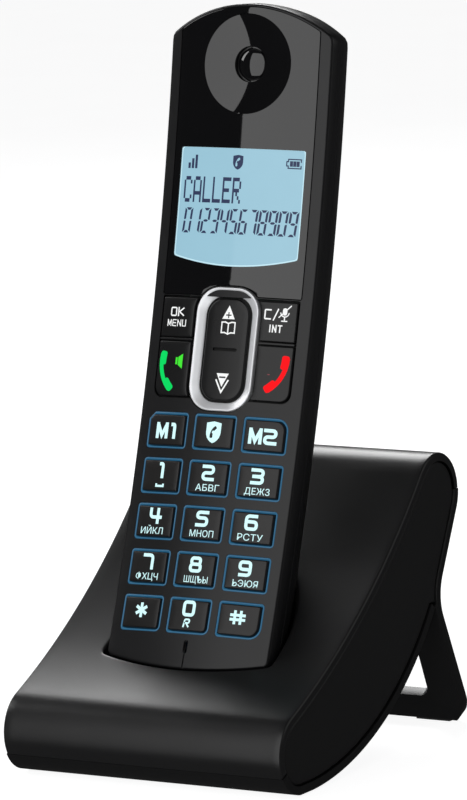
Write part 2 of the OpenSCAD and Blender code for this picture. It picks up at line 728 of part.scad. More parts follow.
module handset_pcb() color(board_green) difference() {
    on_face(board_s) translate([-board_half_u, board_low - board_s, -board_d - board_t])
        cube([2 * board_half_u, board_l, board_t]);
    at_board_screw() translate([0, 0, -5]) cylinder(h = 8, r = board_screw_r + 0.1, $fn = 32);
}
hand_shield = [22, 18, 2.5];
module handset_rf_shield() color(tin_grey) on_face(board_s)
    translate([-hand_shield[0] / 2, 26, -board_d - board_t - hand_shield[2] - solder_gap]) cube(hand_shield);
aerial_s = 144;
aerial_u = 16;
aerial_d = 12;
aerial_w = 3;
aerial_l = 20;
module handset_antenna() color(gold) on_face(aerial_s) {
    translate([aerial_u, -8, -aerial_d]) cube([strip_t, aerial_l, aerial_w]);
    translate([aerial_u, aerial_l - 8 - strip_t, -aerial_d]) cube([4, strip_t, aerial_w]);
}
mic_r = 2.4;
module microphone() color(tin_grey) on_face(mic_s)
    translate([0, 0, -5.6]) cylinder(h = mic_r, r = mic_r, $fn = 48);
ringer_r = 9.5;
ringer_d = 20;
module ringer_speaker() color(tin_grey) on_face(ringer_s) translate([0, 0, -ringer_d]) {
    cylinder(h = speaker_t, r = ringer_r, $fn = 64);
    translate([0, 0, speaker_t - 0.1]) cylinder(h = 1.2, r = speaker_rim_r, $fn = 64);
}
cell_d = tray_d + tray_t + 0.2 + cell_r;
cell_u = 5.6;
cell_top = 57.5;
nub_r = 1.9;
module battery_cells() color(cell_blue) on_face(board_s) for (sx = [-1, 1])
    translate([sx * cell_u, cell_top - board_s, -cell_d]) rotate([90, 0, 0]) {
        cylinder(h = cell_l - 1, r = cell_r, $fn = 48);
        translate([0, 0, -0.9]) cylinder(h = 1, r = nub_r, $fn = 32);
    }
contact = [7, 0.4, 7];
contact_s = [58.6, 13];
module battery_contacts() color(tin_grey) on_face(board_s) for (sx = [-1, 1]) for (s = contact_s)
    translate([sx * cell_u - contact[0] / 2, s - board_s, -cell_d - contact[2] / 2]) cube(contact);
pad = [4, 1.3, 3.2];
module handset_charge_pads() color(gold) for (x = [-pad_u, pad_u]) on_face(0)
    translate([x - pad[0] / 2, 0.55, -11.2]) cube(pad);
board_screw_head_r = 1.3;
module handset_screws() color(tin_grey) at_board_screw() {
    translate([0, 0, 0.02]) cylinder(h = 1, r = board_screw_head_r, $fn = 32);
    translate([0, 0, -6]) cylinder(h = 6.5, r = board_screw_r, $fn = 32);
}

module keypad_key(k) color(key_black) at_key(k) intersection() {
    prism(cell(k, rim_w + key_gap), -2, key_deep);
    crowned(key_u(k), cell_half_u, cell_half_s, -key_proud, key_deep);
}

base_front_shell();
base_rear_cover();
base_bottom_cover();
side_panel_left();
side_panel_right();
base_pcb();
base_rf_shield();
base_antenna();
line_jack();
power_jack();
page_button();
page_switch();
charge_springs();
base_feet();
base_screws();
handset_front_shell();
handset_rear_shell();
battery_door();
display_window();
earpiece_cap();
earpiece_speaker();
lcd_module();
lcd_holder();
nav_ring();
nav_rocker();
key_ok_menu();
key_clear_int();
key_talk();
key_end();
keypad_light_guide();
keypad_mat();
handset_pcb();
handset_rf_shield();
handset_antenna();
microphone();
ringer_speaker();
battery_cells();
battery_contacts();
handset_charge_pads();
handset_screws();
for (k = [0 : 14]) keypad_key(k);
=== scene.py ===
import math

import bpy
import bmesh
import numpy as np
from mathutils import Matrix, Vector
from mathutils.geometry import delaunay_2d_cdt


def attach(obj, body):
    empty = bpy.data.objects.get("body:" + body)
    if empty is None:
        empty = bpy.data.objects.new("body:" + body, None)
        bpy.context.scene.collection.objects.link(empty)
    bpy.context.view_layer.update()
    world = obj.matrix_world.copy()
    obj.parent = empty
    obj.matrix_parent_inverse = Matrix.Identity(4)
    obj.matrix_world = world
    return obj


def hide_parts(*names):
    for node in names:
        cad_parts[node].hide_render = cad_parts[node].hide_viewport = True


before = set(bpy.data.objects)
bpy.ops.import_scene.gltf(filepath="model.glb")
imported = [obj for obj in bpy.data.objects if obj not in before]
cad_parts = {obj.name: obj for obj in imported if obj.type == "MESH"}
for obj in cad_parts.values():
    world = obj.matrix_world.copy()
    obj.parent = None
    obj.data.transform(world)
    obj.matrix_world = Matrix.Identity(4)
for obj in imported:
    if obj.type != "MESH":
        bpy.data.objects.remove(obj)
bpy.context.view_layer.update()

# Sizes are in millimetres and angles in degrees, as in part.scad. MM turns them into metres.
MM = 0.001

# ---- Base ----
BASE_W = 82.0
NOSE_R, NOSE_Y, NOSE_Z = 10.7, -38.7, 11.2
SWEEP_C, SWEEP_R = (-119.5, 205.8), 200.0
CREST_C, CREST_R = (35.6, 62.7), 11.0
NOSE_TOP_A, CREST_FRONT_A = 22.54, 47.3
BACK_A, LEG_A = 28.4, 23.8
SEAM_A = 207.0
FILLET_R = 12.0
FOOT_BACK = (49.5, 0.5)
UNDER_C, UNDER_R = (-36.0, 86.5), 86.0
APEX_Y = 31.9
BASE_WALL = 2.2
LEG_T, LEG_RAIL = 3.8, 9.0
POCKET_GAP, FLOOR_GAP, WELL_DROP, WELL_D = 0.9, 0.3, 6.2, 11.6

# ---- Handset ----
SEAT = (-28.4, 27.1)
SEAT_LEAN, BOW_R, FACE_R = 23.3, 730.0, 128.0
HAND_L, HALF_W, HAND_T = 172.0, 24.2, 24.0
SIDE_D, BACK_EXP, SPLIT_D = 4.0, 2.2, 7.0
TOP_R, END_R = 39.6, 108.0
END_INSET = 9.0
DOOR_TOP, DOOR_D = 70.0, 12.5

# ---- Keys ----
KEY_IDS = ("star", "0", "hash", "7", "8", "9", "4", "5", "6", "1", "2", "3", "m1", "block", "m2")
PITCH_U, PITCH_S, ROW0_S = 14.5, 11.85, 14.0
CELL_U, CELL_S, CELL_R = 6.3, 4.7, 0.95
KEY_PROUD, KEY_DEEP = 0.45, 3.0
NAV_S, NAV_U, NAV_H, NAV_R = 82.9, 9.2, 15.9, 6.6
ROCK_U, ROCK_H, ROCK_R, ROCK_GAP, ROCK_D = 6.2, 13.1, 4.6, 0.3, 0.5
SOFT_OUT, SOFT_LOW, SOFT_MID, SOFT_TOP = 20.3, 69.9, 85.0, 96.1

# ---- Window ----
LENS_U, LENS_LOW = 20.6, 96.6
LCD_U, LCD_TOP, LCD_MID_LOW, LCD_SIDE_LOW = 18.5, 134.6, 104.2, 106.6
EAR_S, EAR_R, BOWL_R = 156.3, 12.9, 37.0


def rad(a):
    return math.radians(a)


def arc(center, radius, a0, a1, n):
    """Points on an arc from angle a0 to a1, both ends included."""
    a = np.radians(np.linspace(a0, a1, n + 1))
    return np.stack([center[0] + radius * np.cos(a), center[1] + radius * np.sin(a)], -1)


# ---- Handset frame: u across, s up the face, d depth below its centre line ----
def crown(u):
    return FACE_R - np.sqrt(FACE_R**2 - np.asarray(u, float) ** 2)


def hand_point(u, s, d):
    """Place of the points (u, s, d) of the bowed handset, as an (n, 3) array in millimetres."""
    u, s, d = np.broadcast_arrays(*(np.asarray(a, float) for a in (u, s, d)))
    lean = rad(SEAT_LEAN) - s / BOW_R
    y = SEAT[0] + BOW_R * (np.cos(lean) - math.cos(rad(SEAT_LEAN))) + d * np.cos(lean)
    z = SEAT[1] + BOW_R * (math.sin(rad(SEAT_LEAN)) - np.sin(lean)) - d * np.sin(lean)
    return np.stack([u, y, z], -1)


def on_face(uv, depth):
    """Points on the crowned face, depth below it. uv is an (n, 2) array of u and s."""
    uv = np.asarray(uv, float)
    return hand_point(uv[:, 0], uv[:, 1], crown(uv[:, 0]) + depth)


# ---- Closed loops in a plane, as (n, 2) arrays, anticlockwise ----
def round_rect(a, b, radii, n=6):
    """Rectangle of half sizes a by b. radii are for the top right, top left, lower left, lower right."""
    r = (radii,) * 4 if np.isscalar(radii) else radii
    corners = ((a, b), (-a, b), (-a, -b), (a, -b))
    parts = []
    for k, (x, y) in enumerate(corners):
        center = (x - math.copysign(r[k], x), y - math.copysign(r[k], y))
        parts.append(arc(center, r[k], 90 * k, 90 * k + 90, n))
    return np.concatenate(parts)


def resample(loop, step):
    """The closed loop with points about step apart."""
    closed = np.vstack([loop, loop[:1]])
    along = np.concatenate([[0], np.cumsum(np.hypot(*np.diff(closed, axis=0).T))])
    n = max(8, int(round(along[-1] / step)))
    t = np.linspace(0, along[-1], n, endpoint=False)
    return np.stack([np.interp(t, along, closed[:, k]) for k in (0, 1)], -1)


def soften(loop, width, step):
    """Rounds the corners of a closed loop by averaging it over width."""
    loop = resample(loop, step)
    n = max(1, int(round(width / step)))
    return sum(np.roll(loop, k, axis=0) for k in range(-n, n + 1)) / (2 * n + 1)


def inset(loop, g):
    """The closed anticlockwise loop moved inwards by g, point by point."""
    before = loop - np.roll(loop, 1, axis=0)
    after = np.roll(loop, -1, axis=0) - loop
    normals = []
    for e in (before, after):
        length = np.maximum(np.hypot(*e.T), 1e-9)[:, None]
        normals.append(np.stack([-e[:, 1], e[:, 0]], -1) / length)
    mean = normals[0] + normals[1]
    mean /= np.maximum((mean**2).sum(1), 1e-9)[:, None] / 2
    return loop + g * mean


def inside(points, loop):
    """For each point, whether it lies inside the closed loop."""
    x, y = points[:, 0][:, None], points[:, 1][:, None]
    x0, y0 = loop[:, 0][None], loop[:, 1][None]
    x1, y1 = np.roll(loop[:, 0], -1)[None], np.roll(loop[:, 1], -1)[None]
    crosses = ((y0 > y) != (y1 > y)) & (x < (x1 - x0) * (y - y0) / np.where(y1 == y0, 1e-12, y1 - y0) + x0)
    return crosses.sum(1) % 2 == 1


def near(points, loop, distance):
    """For each point, whether it lies within distance of a point of the loop."""
    found = np.zeros(len(points), bool)
    for k in range(0, len(points), 500):
        d = points[k:k + 500, None] - loop[None]
        found[k:k + 500] = (d**2).sum(-1).min(1) < distance**2
    return found


def fill(outer, holes, step):
    """Triangles that fill the loop outer apart from the holes, with a grid of points step apart."""
    low, high = outer.min(0), outer.max(0)
    xs = np.arange(low[0] + step / 2, high[0], step)
    ys = np.arange(low[1] + step / 2, high[1], step)
    grid = np.stack(np.meshgrid(xs, ys), -1).reshape(-1, 2)
    grid = grid[inside(grid, outer) & ~near(grid, outer, 0.6 * step)]
    for hole in holes:
        grid = grid[~inside(grid, hole) & ~near(grid, hole, 0.6 * step)]
    points, edges = [], []
    for loop in (outer, *holes):
        k, n = sum(len(p) for p in points), len(loop)
        points.append(loop)
        edges += [(k + i, k + (i + 1) % n) for i in range(n)]
    points = np.concatenate([*points, grid])
    out = delaunay_2d_cdt([Vector(p) for p in points], edges, [], 0, 1e-6)
    verts = np.array([tuple(v) for v in out[0]])
    tris = np.array([tuple(f) for f in out[2]])
    mid = verts[tris].mean(1)
    keep = inside(mid, outer)
    for hole in holes:
        keep &= ~inside(mid, hole)
    return verts, tris[keep]


class Shape:
    """Gathers vertices in millimetres and faces with a material number, and makes one object."""

    def __init__(self):
        self.verts, self.faces, self.marks = [], [], []

    def add(self, verts, faces, mark=0):
        k = len(self.verts)
        self.verts += [tuple(v) for v in np.asarray(verts, float)]
        self.faces += [tuple(int(i) + k for i in f) for f in faces]
        self.marks += [mark] * len(faces)
        return self

    def rings(self, rings, mark=0, closed=True):
        """Quads between successive rings with the same number of points."""
        n = len(rings[0])
        m = n if closed else n - 1
        faces = [(k * n + i, k * n + (i + 1) % n, (k + 1) * n + (i + 1) % n, (k + 1) * n + i)
                 for k in range(len(rings) - 1) for i in range(m)]
        return self.add(np.concatenate(rings), faces, mark)

    def cap(self, ring, mark=0):
        """One flat face over a ring."""
        return self.add(ring, [tuple(range(len(ring)))], mark)

    def build(self, name, materials, weld=0.002, sharp=35.0):
        mesh = bpy.data.meshes.new(name)
        mesh.from_pydata([Vector(v) * MM for v in self.verts], [], self.faces)
        for m in materials:
            mesh.materials.append(m)
        mesh.polygons.foreach_set("material_index", self.marks)
        bm = bmesh.new()
        bm.from_mesh(mesh)
        bmesh.ops.remove_doubles(bm, verts=bm.verts, dist=weld * MM)
        bmesh.ops.dissolve_degenerate(bm, dist=weld * MM / 4, edges=bm.edges)
        bmesh.ops.delete(bm, geom=[v for v in bm.verts if not v.link_faces], context="VERTS")
        bmesh.ops.recalc_face_normals(bm, faces=bm.faces)
        bm.to_mesh(mesh)
        bm.free()
        piece = bpy.data.objects.new(name, mesh)
        bpy.context.scene.collection.objects.link(piece)
        smooth(piece, sharp)
        return piece


def smooth(piece, sharp=35.0):
    """Smooth shading, apart from edges sharper than the angle."""
    piece.data.shade_smooth()
    piece.data.set_sharp_from_angle(angle=rad(sharp))


def apply_modifiers(piece, sharp=35.0):
    """Replaces the mesh by its result with the modifiers applied."""
    graph = bpy.context.evaluated_depsgraph_get()
    mesh = bpy.data.meshes.new_from_object(piece.evaluated_get(graph))
    piece.modifiers.clear()
    piece.data = mesh
    smooth(piece, sharp)


def thicken(piece, t):
    """Gives a sheet the thickness t in millimetres, inwards."""
    mod = piece.modifiers.new("wall", "SOLIDIFY")
    mod.thickness, mod.offset = t * MM, -1
    apply_modifiers(piece)


def round_edges(piece, width, angle=40.0, segments=2):
    """Rounds the edges sharper than the angle."""
    mod = piece.modifiers.new("edge", "BEVEL")
    mod.width, mod.segments = width * MM, segments
    mod.limit_method, mod.angle_limit = "ANGLE", rad(angle)
    mod.use_clamp_overlap = True
    apply_modifiers(piece)


def cut(piece, *tools):
    """Takes the tool solids away from the piece, and removes them."""
    for tool in tools:
        mod = piece.modifiers.new("cut", "BOOLEAN")
        mod.operation, mod.object, mod.solver = "DIFFERENCE", tool, "EXACT"
        apply_modifiers(piece)
        bpy.data.objects.remove(tool)


def settle(piece, body, slot, *nodes):
    """The piece rides on the body and stands for the CAD nodes, which are hidden. The slot is not used."""
    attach(piece, body)
    if nodes:
        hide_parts(*nodes)
    return piece


# ---- Materials: moulded plastics with a fine grain and slow changes of gloss ----
def surface(name, color, rough, grain=0.3, bump=0.004, vary=0.08, rough_vary=0.05, specular=0.5,
            coat=0.0, coat_rough=0.03, metallic=0.0, glow=0.0, dim=1.0):
    """A plastic or metal. grain is the size and bump the height of its texture, in millimetres.
    A lit one glows with its color, and dim is the share of it that it has unlit."""
    mat = bpy.data.materials.new(name)
    mat.use_nodes = True
    nodes, links = mat.node_tree.nodes, mat.node_tree.links
    bsdf = nodes["Principled BSDF"]
    bsdf.inputs["Metallic"].default_value = metallic
    bsdf.inputs["Specular IOR Level"].default_value = specular
    bsdf.inputs["Coat Weight"].default_value = coat
    bsdf.inputs["Coat Roughness"].default_value = coat_rough
    place = nodes.new("ShaderNodeTexCoord")

    def noise(size, detail):
        n = nodes.new("ShaderNodeTexNoise")
        n.inputs["Scale"].default_value = 1 / (size * MM)
        n.inputs["Detail"].default_value = detail
        links.new(place.outputs["Object"], n.inputs["Vector"])
        return n.outputs["Fac"]

    slow = noise(18.0, 2.0)
    fine = noise(grain, 3.0)

    def tint(share):
        mix = nodes.new("ShaderNodeMix")
        mix.data_type = "RGBA"
        mix.inputs["A"].default_value = (*[c * share * (1 - vary) for c in color], 1)
        mix.inputs["B"].default_value = (*[min(1, c * share * (1 + vary)) for c in color], 1)
        links.new(fine, mix.inputs["Factor"])
        return mix.outputs["Result"]

    links.new(tint(dim), bsdf.inputs["Base Color"])
    span = nodes.new("ShaderNodeMapRange")
    span.inputs["To Min"].default_value = max(0, rough - rough_vary)
    span.inputs["To Max"].default_value = rough + rough_vary
    links.new(slow, span.inputs["Value"])
    links.new(span.outputs["Result"], bsdf.inputs["Roughness"])
    if bump:
        rise = nodes.new("ShaderNodeBump")
        rise.inputs["Strength"].default_value = 1.0
        rise.inputs["Distance"].default_value = bump * MM
        links.new(fine, rise.inputs["Height"])
        links.new(rise.outputs["Normal"], bsdf.inputs["Normal"])
    if glow:
        links.new(tint(1.0), bsdf.inputs["Emission Color"])
        bsdf.inputs["Emission Strength"].default_value = glow
    return mat


grained_black = surface("grained_black", (0.0072, 0.0072, 0.0075), 0.31, grain=0.28, bump=0.018, specular=0.34)
smooth_black = surface("smooth_black", (0.005, 0.005, 0.0052), 0.34, bump=0.003, specular=0.3)
panel_black = surface("panel_black", (0.007, 0.007, 0.0073), 0.42, bump=0.003, specular=0.25)
hand_black = surface("hand_black", (0.0065, 0.0065, 0.007), 0.33, grain=0.2, bump=0.003, specular=0.26)
gloss_black = surface("gloss_black", (0.003, 0.003, 0.0034), 0.03, bump=0.0, rough_vary=0.01)
key_black = surface("key_black", (0.008, 0.0075, 0.0075), 0.34, grain=0.2, bump=0.003, specular=0.28)
cluster_black = surface("cluster_black", (0.006, 0.006, 0.0063), 0.28, grain=0.2, bump=0.002, specular=0.26)
satin_silver = surface("satin_silver", (0.72, 0.73, 0.75), 0.4, grain=0.12, bump=0.002, metallic=0.5)
glow_blue = surface("glow_blue", (0.020, 0.115, 0.22), 0.4, bump=0.002, glow=0.75, dim=0.3)
lcd_glow = surface("lcd_glow", (0.325, 0.585, 0.72), 0.5, grain=6, bump=0.0, vary=0.02, glow=0.83, dim=0.08, coat=0.2)
lcd_edge = surface("lcd_edge", (0.52, 0.78, 0.88), 0.4, grain=6, bump=0.0, vary=0.02, glow=0.9, dim=0.15)
lcd_ink = surface("lcd_ink", (0.004, 0.018, 0.090), 0.5, bump=0.0, vary=0.03, glow=0.5, dim=0.3)
legend_white = surface("legend_white", (0.86, 0.87, 0.87), 0.5, grain=0.15, bump=0.0, vary=0.03, glow=0.45, dim=0.6)
legend_lit = surface("legend_lit", (0.62, 0.93, 0.95), 0.5, grain=0.4, bump=0.0, vary=0.04, glow=0.8, dim=0.3)
legend_green = surface("legend_green", (0.0, 0.64, 0.11), 0.6, grain=0.2, bump=0.0, vary=0.06, specular=0.06,
                       glow=0.8, dim=0.3)
legend_lime = surface("legend_lime", (0.03, 0.72, 0.01), 0.45, grain=0.2, bump=0.0, vary=0.06, glow=0.75, dim=0.35)
legend_red = surface("legend_red", (0.92, 0.006, 0.010), 0.6, grain=0.2, bump=0.0, vary=0.06, specular=0.06,
                     glow=0.8, dim=0.3)
legend_dim_red = surface("legend_dim_red", (0.25, 0.02, 0.03), 0.45, bump=0.0, glow=0.5, dim=0.4)
rubber_grey = surface("rubber_grey", (0.03, 0.03, 0.03), 0.75, grain=0.4, bump=0.02, specular=0.3)
board_green = surface("board_green", (0.02, 0.12, 0.05), 0.35, grain=1.5, bump=0.01)
tin_metal = surface("tin_metal", (0.6, 0.61, 0.62), 0.3, grain=0.5, bump=0.004, metallic=1.0)
gold_metal = surface("gold_metal", (0.8, 0.55, 0.2), 0.25, grain=0.5, bump=0.003, metallic=1.0)
white_plastic = surface("white_plastic", (0.8, 0.8, 0.79), 0.4, bump=0.003)
sleeve = surface("sleeve", (0.05, 0.13, 0.2), 0.3, grain=2.0, bump=0.003, coat=0.4)
# Near-black paint that stands in for the shade in recesses and gaps, not a colour of the plastic
painted_gap_shade = surface("painted_gap_shade", (0.002, 0.002, 0.002), 0.6, bump=0.002, specular=0.2)


# ---- Base: skin in the Y-Z plane, as places along the line and outward normals ----
def skin_line(parts):
    """Joins [points, normals] parts and returns places, normals and the length along the line."""
    points = np.concatenate([p for p, _ in parts])
    normals = np.concatenate([n for _, n in parts])
    keep = np.concatenate([[True], np.hypot(*np.diff(points, axis=0).T) > 1e-4])
    points, normals = points[keep], normals[keep]
    along = np.concatenate([[0], np.cumsum(np.hypot(*np.diff(points, axis=0).T))])
    return points, normals, along


def round_part(center, radius, a0, a1, n, out=1):
    """An arc of skin; out is -1 where the skin is hollow."""
    points = arc(center, radius, a0, a1, n)
    return points, out * (points - np.array(center)) / radius


def at_skin(line, x, t, depth):
    """Places at x, t along the skin line and depth below it, as an (n, 3) array."""
    points, normals, along = line
    y, z = (np.interp(t, along, points[:, k]) for k in (0, 1))
    ny, nz = (np.interp(t, along, normals[:, k]) for k in (0, 1))
    x, depth = np.broadcast_to(x, np.shape(t)), np.broadcast_to(depth, np.shape(t))
    return np.stack([x, y - depth * ny, z - depth * nz], -1)


NOSE_C = (NOSE_Y, NOSE_Z)
front_line = skin_line([
    round_part(NOSE_C, NOSE_R, SEAM_A, 90 + NOSE_TOP_A, 28),
    round_part(SWEEP_C, SWEEP_R, NOSE_TOP_A - 90, CREST_FRONT_A - 90, 60, out=-1),
    round_part(CREST_C, CREST_R, 90 + CREST_FRONT_A, 0, 40),
])
back_dir = np.array([-math.sin(rad(BACK_A)), -math.cos(rad(BACK_A))])
back_n = np.array([math.cos(rad(BACK_A)), -math.sin(rad(BACK_A))])
leg_dir = np.array([math.sin(rad(LEG_A)), -math.cos(rad(LEG_A))])
leg_n = np.array([math.cos(rad(LEG_A)), math.sin(rad(LEG_A))])
back_top = np.array(CREST_C) + CREST_R * back_n
foot_back = np.array(FOOT_BACK)
corner = back_top + ((foot_back - back_top) @ leg_n) / (back_dir @ leg_n) * back_dir
fillet_c = corner - FILLET_R * math.tan(rad((BACK_A + LEG_A) / 2)) * back_dir + FILLET_R * back_n
under_end_a = -math.degrees(math.acos((APEX_Y - UNDER_C[0]) / UNDER_R))

# Pocket opening on the front skin: where the handset's enlarged section meets it
seat_up = np.array([math.sin(rad(SEAT_LEAN)), math.cos(rad(SEAT_LEAN))])
seat_in = np.array([math.cos(rad(SEAT_LEAN)), -math.sin(rad(SEAT_LEAN))])


def seat_frame(yz):
    """Height s along the seated handset's lower end and depth d of [y, z] points."""
    q = np.asarray(yz, float) - np.array(SEAT)
    return q @ seat_up, q @ seat_in


def end_rise(u):
    """Height of the handset's curved lower end at u."""
    return END_R - np.sqrt(END_R**2 - np.asarray(u, float) ** 2)


def back_depth(u, g):
    """Depth of the handset's rounded back at u, g inside the skin."""
    share = np.clip(np.abs(u) / (HALF_W - g), 0, 1)
    return SIDE_D + (HAND_T - g - SIDE_D) * (1 - share**BACK_EXP) ** (1 / BACK_EXP)


def pocket_loop(g):
    """The opening in the front skin as an anticlockwise loop of x and t."""
    points, _, along = front_line
    s, d = seat_frame(points)
    first = np.argmax(along > 0.5 * along[-1] - 60)
    s, d, t = s[first:], d[first:], along[first:]
    half = HALF_W + g
    xs = half * np.sin(np.radians(np.linspace(-89.9, 89.9, 121)))
    low = [max(np.interp(end_rise(x) - FLOOR_GAP, s, t), np.interp(float(crown(x)) - g, d, t)) for x in xs]
    high = [np.interp(float(back_depth(x, -g)), d, t) for x in xs]
    loop = np.concatenate([np.stack([xs, low], -1), np.stack([xs, high], -1)[::-1]])
    return soften(loop, 1.6, 0.35)


LIP = 0.9
EDGE = 0.6


def make_front_shell():
    length = front_line[2][-1]
    opening = resample(pocket_loop(POCKET_GAP), 0.8)
    frame_loop = resample(np.array([[-BASE_W / 2, 0], [BASE_W / 2, 0], [BASE_W / 2, length],
                                    [-BASE_W / 2, length]]) * 1.0, 1.2)
    lip_loop = inset(opening, -LIP)
    shape = Shape()
    inner = np.stack([frame_loop[:, 0] * (1 - 2 * EDGE / BASE_W), frame_loop[:, 1]], -1)
    verts, tris = fill(inner, [lip_loop], 1.6)
    shape.add(at_skin(front_line, verts[:, 0], verts[:, 1], 0), tris)
    rings = []
    for a in np.linspace(0, 90, 6):
        x = frame_loop[:, 0] * (1 - 2 * EDGE * (1 - math.sin(rad(a))) / BASE_W)
        rings.append(at_skin(front_line, x, frame_loop[:, 1], EDGE * (1 - math.cos(rad(a)))))
    rings.append(at_skin(front_line, frame_loop[:, 0], frame_loop[:, 1], BASE_WALL))
    shape.rings(rings)
    # The lip rolls from the skin over into the pocket wall, which follows the handset's axis
    outer = at_skin(front_line, lip_loop[:, 0], lip_loop[:, 1], 0)
    edge = at_skin(front_line, opening[:, 0], opening[:, 1], 0)
    s, d = seat_frame(edge[:, 1:])
    floor = np.where(d > WELL_D, -WELL_DROP, -FLOOR_GAP) + end_rise(edge[:, 0])
    drop = np.maximum(s - floor, 0)
    down = np.array([0, -seat_up[0], -seat_up[1]])
    wall_top = edge + np.minimum(drop, LIP)[:, None] * down
    lip = [(1 - k) ** 2 * outer + 2 * k * (1 - k) * edge + k * k * wall_top for k in np.linspace(0, 1, 7)]
    shape.rings([*lip, edge + drop[:, None] * down])
    # Floor of the pocket, in front of the step down to the contacts' well and behind it
    section = np.stack([edge[:, 0], d], -1)
    for ahead, level in ((True, -FLOOR_GAP), (False, -WELL_DROP)):
        side = section[:, 1] < WELL_D
        part = section[side if ahead else ~side]
        order = np.argsort(np.arctan2(part[:, 1] - part[:, 1].mean(), part[:, 0]))
        verts, tris = fill(part[order], [], 2.0)
        rise = end_rise(verts[:, 0]) + level
        y = SEAT[0] + rise * seat_up[0] + verts[:, 1] * seat_in[0]
        z = SEAT[1] + rise * seat_up[1] + verts[:, 1] * seat_in[1]
        shape.add(np.stack([verts[:, 0], y, z], -1), tris)
    half = np.abs(section[:, 0])[np.abs(section[:, 1] - WELL_D) < 1].max()
    xs = np.linspace(-half, half, 30)
    step = []
    for level in (-FLOOR_GAP, -WELL_DROP):
        rise = end_rise(xs) + level
        step.append(np.stack([xs, SEAT[0] + rise * seat_up[0] + WELL_D * seat_in[0],
                              SEAT[1] + rise * seat_up[1] + WELL_D * seat_in[1]], -1))
    shape.rings(step, closed=False)
    shell = shape.build("base_shell_front", [grained_black], weld=0.01)
    return settle(shell, "base", "base_textured_black", "base_front_shell")


def prism_x(name, outline, x0, x1, materials, n=1):
    """Solid with the [y, z] outline, from x0 to x1."""
    shape = Shape()
    rings = [np.column_stack([np.full(len(outline), x), outline]) for x in np.linspace(x0, x1, n + 1)]
    return shape.rings(rings).cap(rings[0]).cap(rings[-1]).build(name, materials)


def cylinder(name, center, axis, radius, length, n=48):
    """A cutting tool: a cylinder from center along axis."""
    axis = np.array(axis, float) / np.linalg.norm(axis)
    side = np.cross(axis, [1, 0, 0] if abs(axis[0]) < 0.9 else [0, 1, 0])
    side /= np.linalg.norm(side)
    other = np.cross(axis, side)
    a = np.radians(np.arange(n) * 360 / n)[:, None]
    ring = np.array(center) + radius * (np.cos(a) * side + np.sin(a) * other)
    return Shape().rings([ring, ring + length * axis]).cap(ring).cap(ring + length * axis).build(name, [])


def placed(points, origin, right, up, out):
    """Points of a local frame (x right, y up, z out) in the shared frame."""
    p = np.asarray(points, float)
    return np.array(origin) + p[:, :1] * np.array(right) + p[:, 1:2] * np.array(up) + p[:, 2:] * np.array(out)


def block(name, loop, z0, z1, origin, right, up, out):
    """A cutting tool: the local loop from z0 to z1 in a local frame."""
    rings = [placed(np.column_stack([loop, np.full(len(loop), z)]), origin, right, up, out) for z in (z0, z1)]
    return Shape().rings(rings).cap(rings[0]).cap(rings[1]).build(name, [])


X = (1, 0, 0)
LEG_FRAME = ((0, *FOOT_BACK), X, (0, *(-leg_dir)), (0, *leg_n))
back_mid = back_top + 9 * back_dir
BACK_FRAME = ((0, *back_mid), (-1, 0, 0), (0, *(-back_dir)), (0, *back_n))


def make_rear_cover():
    outer = np.concatenate([
        arc(CREST_C, CREST_R, -1, -BACK_A, 10),
        arc(fillet_c, FILLET_R, 180 - BACK_A, 180 + LEG_A, 16),
        [foot_back, foot_back - np.array([LEG_T / math.cos(rad(LEG_A)), 0])],
        arc(UNDER_C, UNDER_R, under_end_a, under_end_a - 0.1, 1)[:1],
        arc(fillet_c, FILLET_R + BASE_WALL, 180 + LEG_A * 0.3, 180 - BACK_A, 10),
        arc(CREST_C, CREST_R - BASE_WALL, -BACK_A, -1, 8),
    ])
    cover = prism_x("base_cover_rear", outer, -BASE_W / 2, BASE_W / 2, [smooth_black])
    window = [p + [0, 18] for p in round_rect(BASE_W / 2 - LEG_RAIL, 9.2, 3.0, n=8)]
    tools = [block("window", np.array(window), -12, 12, *LEG_FRAME)]
    foot_r = 7.0
    for side in (-1, 1):
        c = (side * (BASE_W / 2 - foot_r), foot_r)
        bend = arc(c, foot_r, -90, -90 + 90 * side, 12)
        loop = np.vstack([bend, [side * (BASE_W / 2 + 3), foot_r], [side * (BASE_W / 2 + 3), -3], [c[0], -3]])
        tools.append(block("corner", loop, -12, 12, *LEG_FRAME))
    for x in (-17, 17):
        port = round_rect(6.6, 5.85, 0.4, n=2) + [x, 0]
        tools.append(block("port", port, -6, 4, *BACK_FRAME))
    tools.append(cylinder("page", (0, *(back_mid - 6 * back_n)), (0, *back_n), 3.8, 12))
    cut(cover, *tools)
    round_edges(cover, 0.7, angle=50, segments=3)
    return settle(cover, "base", "base_smooth_black", "base_rear_cover")


def make_bottom_cover():
    outline = np.concatenate([
        arc((NOSE_Y, NOSE_Z), NOSE_R, SEAM_A + 0.6, 262, 10),
        arc(UNDER_C, UNDER_R, -88.5, under_end_a, 40),
        arc(UNDER_C, UNDER_R - BASE_WALL, under_end_a, -88.5, 40),
        arc((NOSE_Y, NOSE_Z), NOSE_R - BASE_WALL, 262, SEAM_A + 0.6, 10),
    ])
    cover = prism_x("base_cover_bottom", outline, -BASE_W / 2, BASE_W / 2, [smooth_black])
    tools = []
    for x in (-34, 34):
        tools.append(cylinder("screw_front", (x, -22, -1), (0, 0, 1), 3.1, 3.75))
        tools.append(cylinder("screw_rear", (x, 23, 18), (0, 0, 1), 3.1, 7.6))
    for x in (-31, 31):
        tools.append(cylinder("foot", (x, -31.5, -1), (0, 0, 1), 5.05, 2.2))
    cut(cover, *tools)
    round_edges(cover, 0.5, angle=50)
    return settle(cover, "base", "base_smooth_black", "base_bottom_cover")


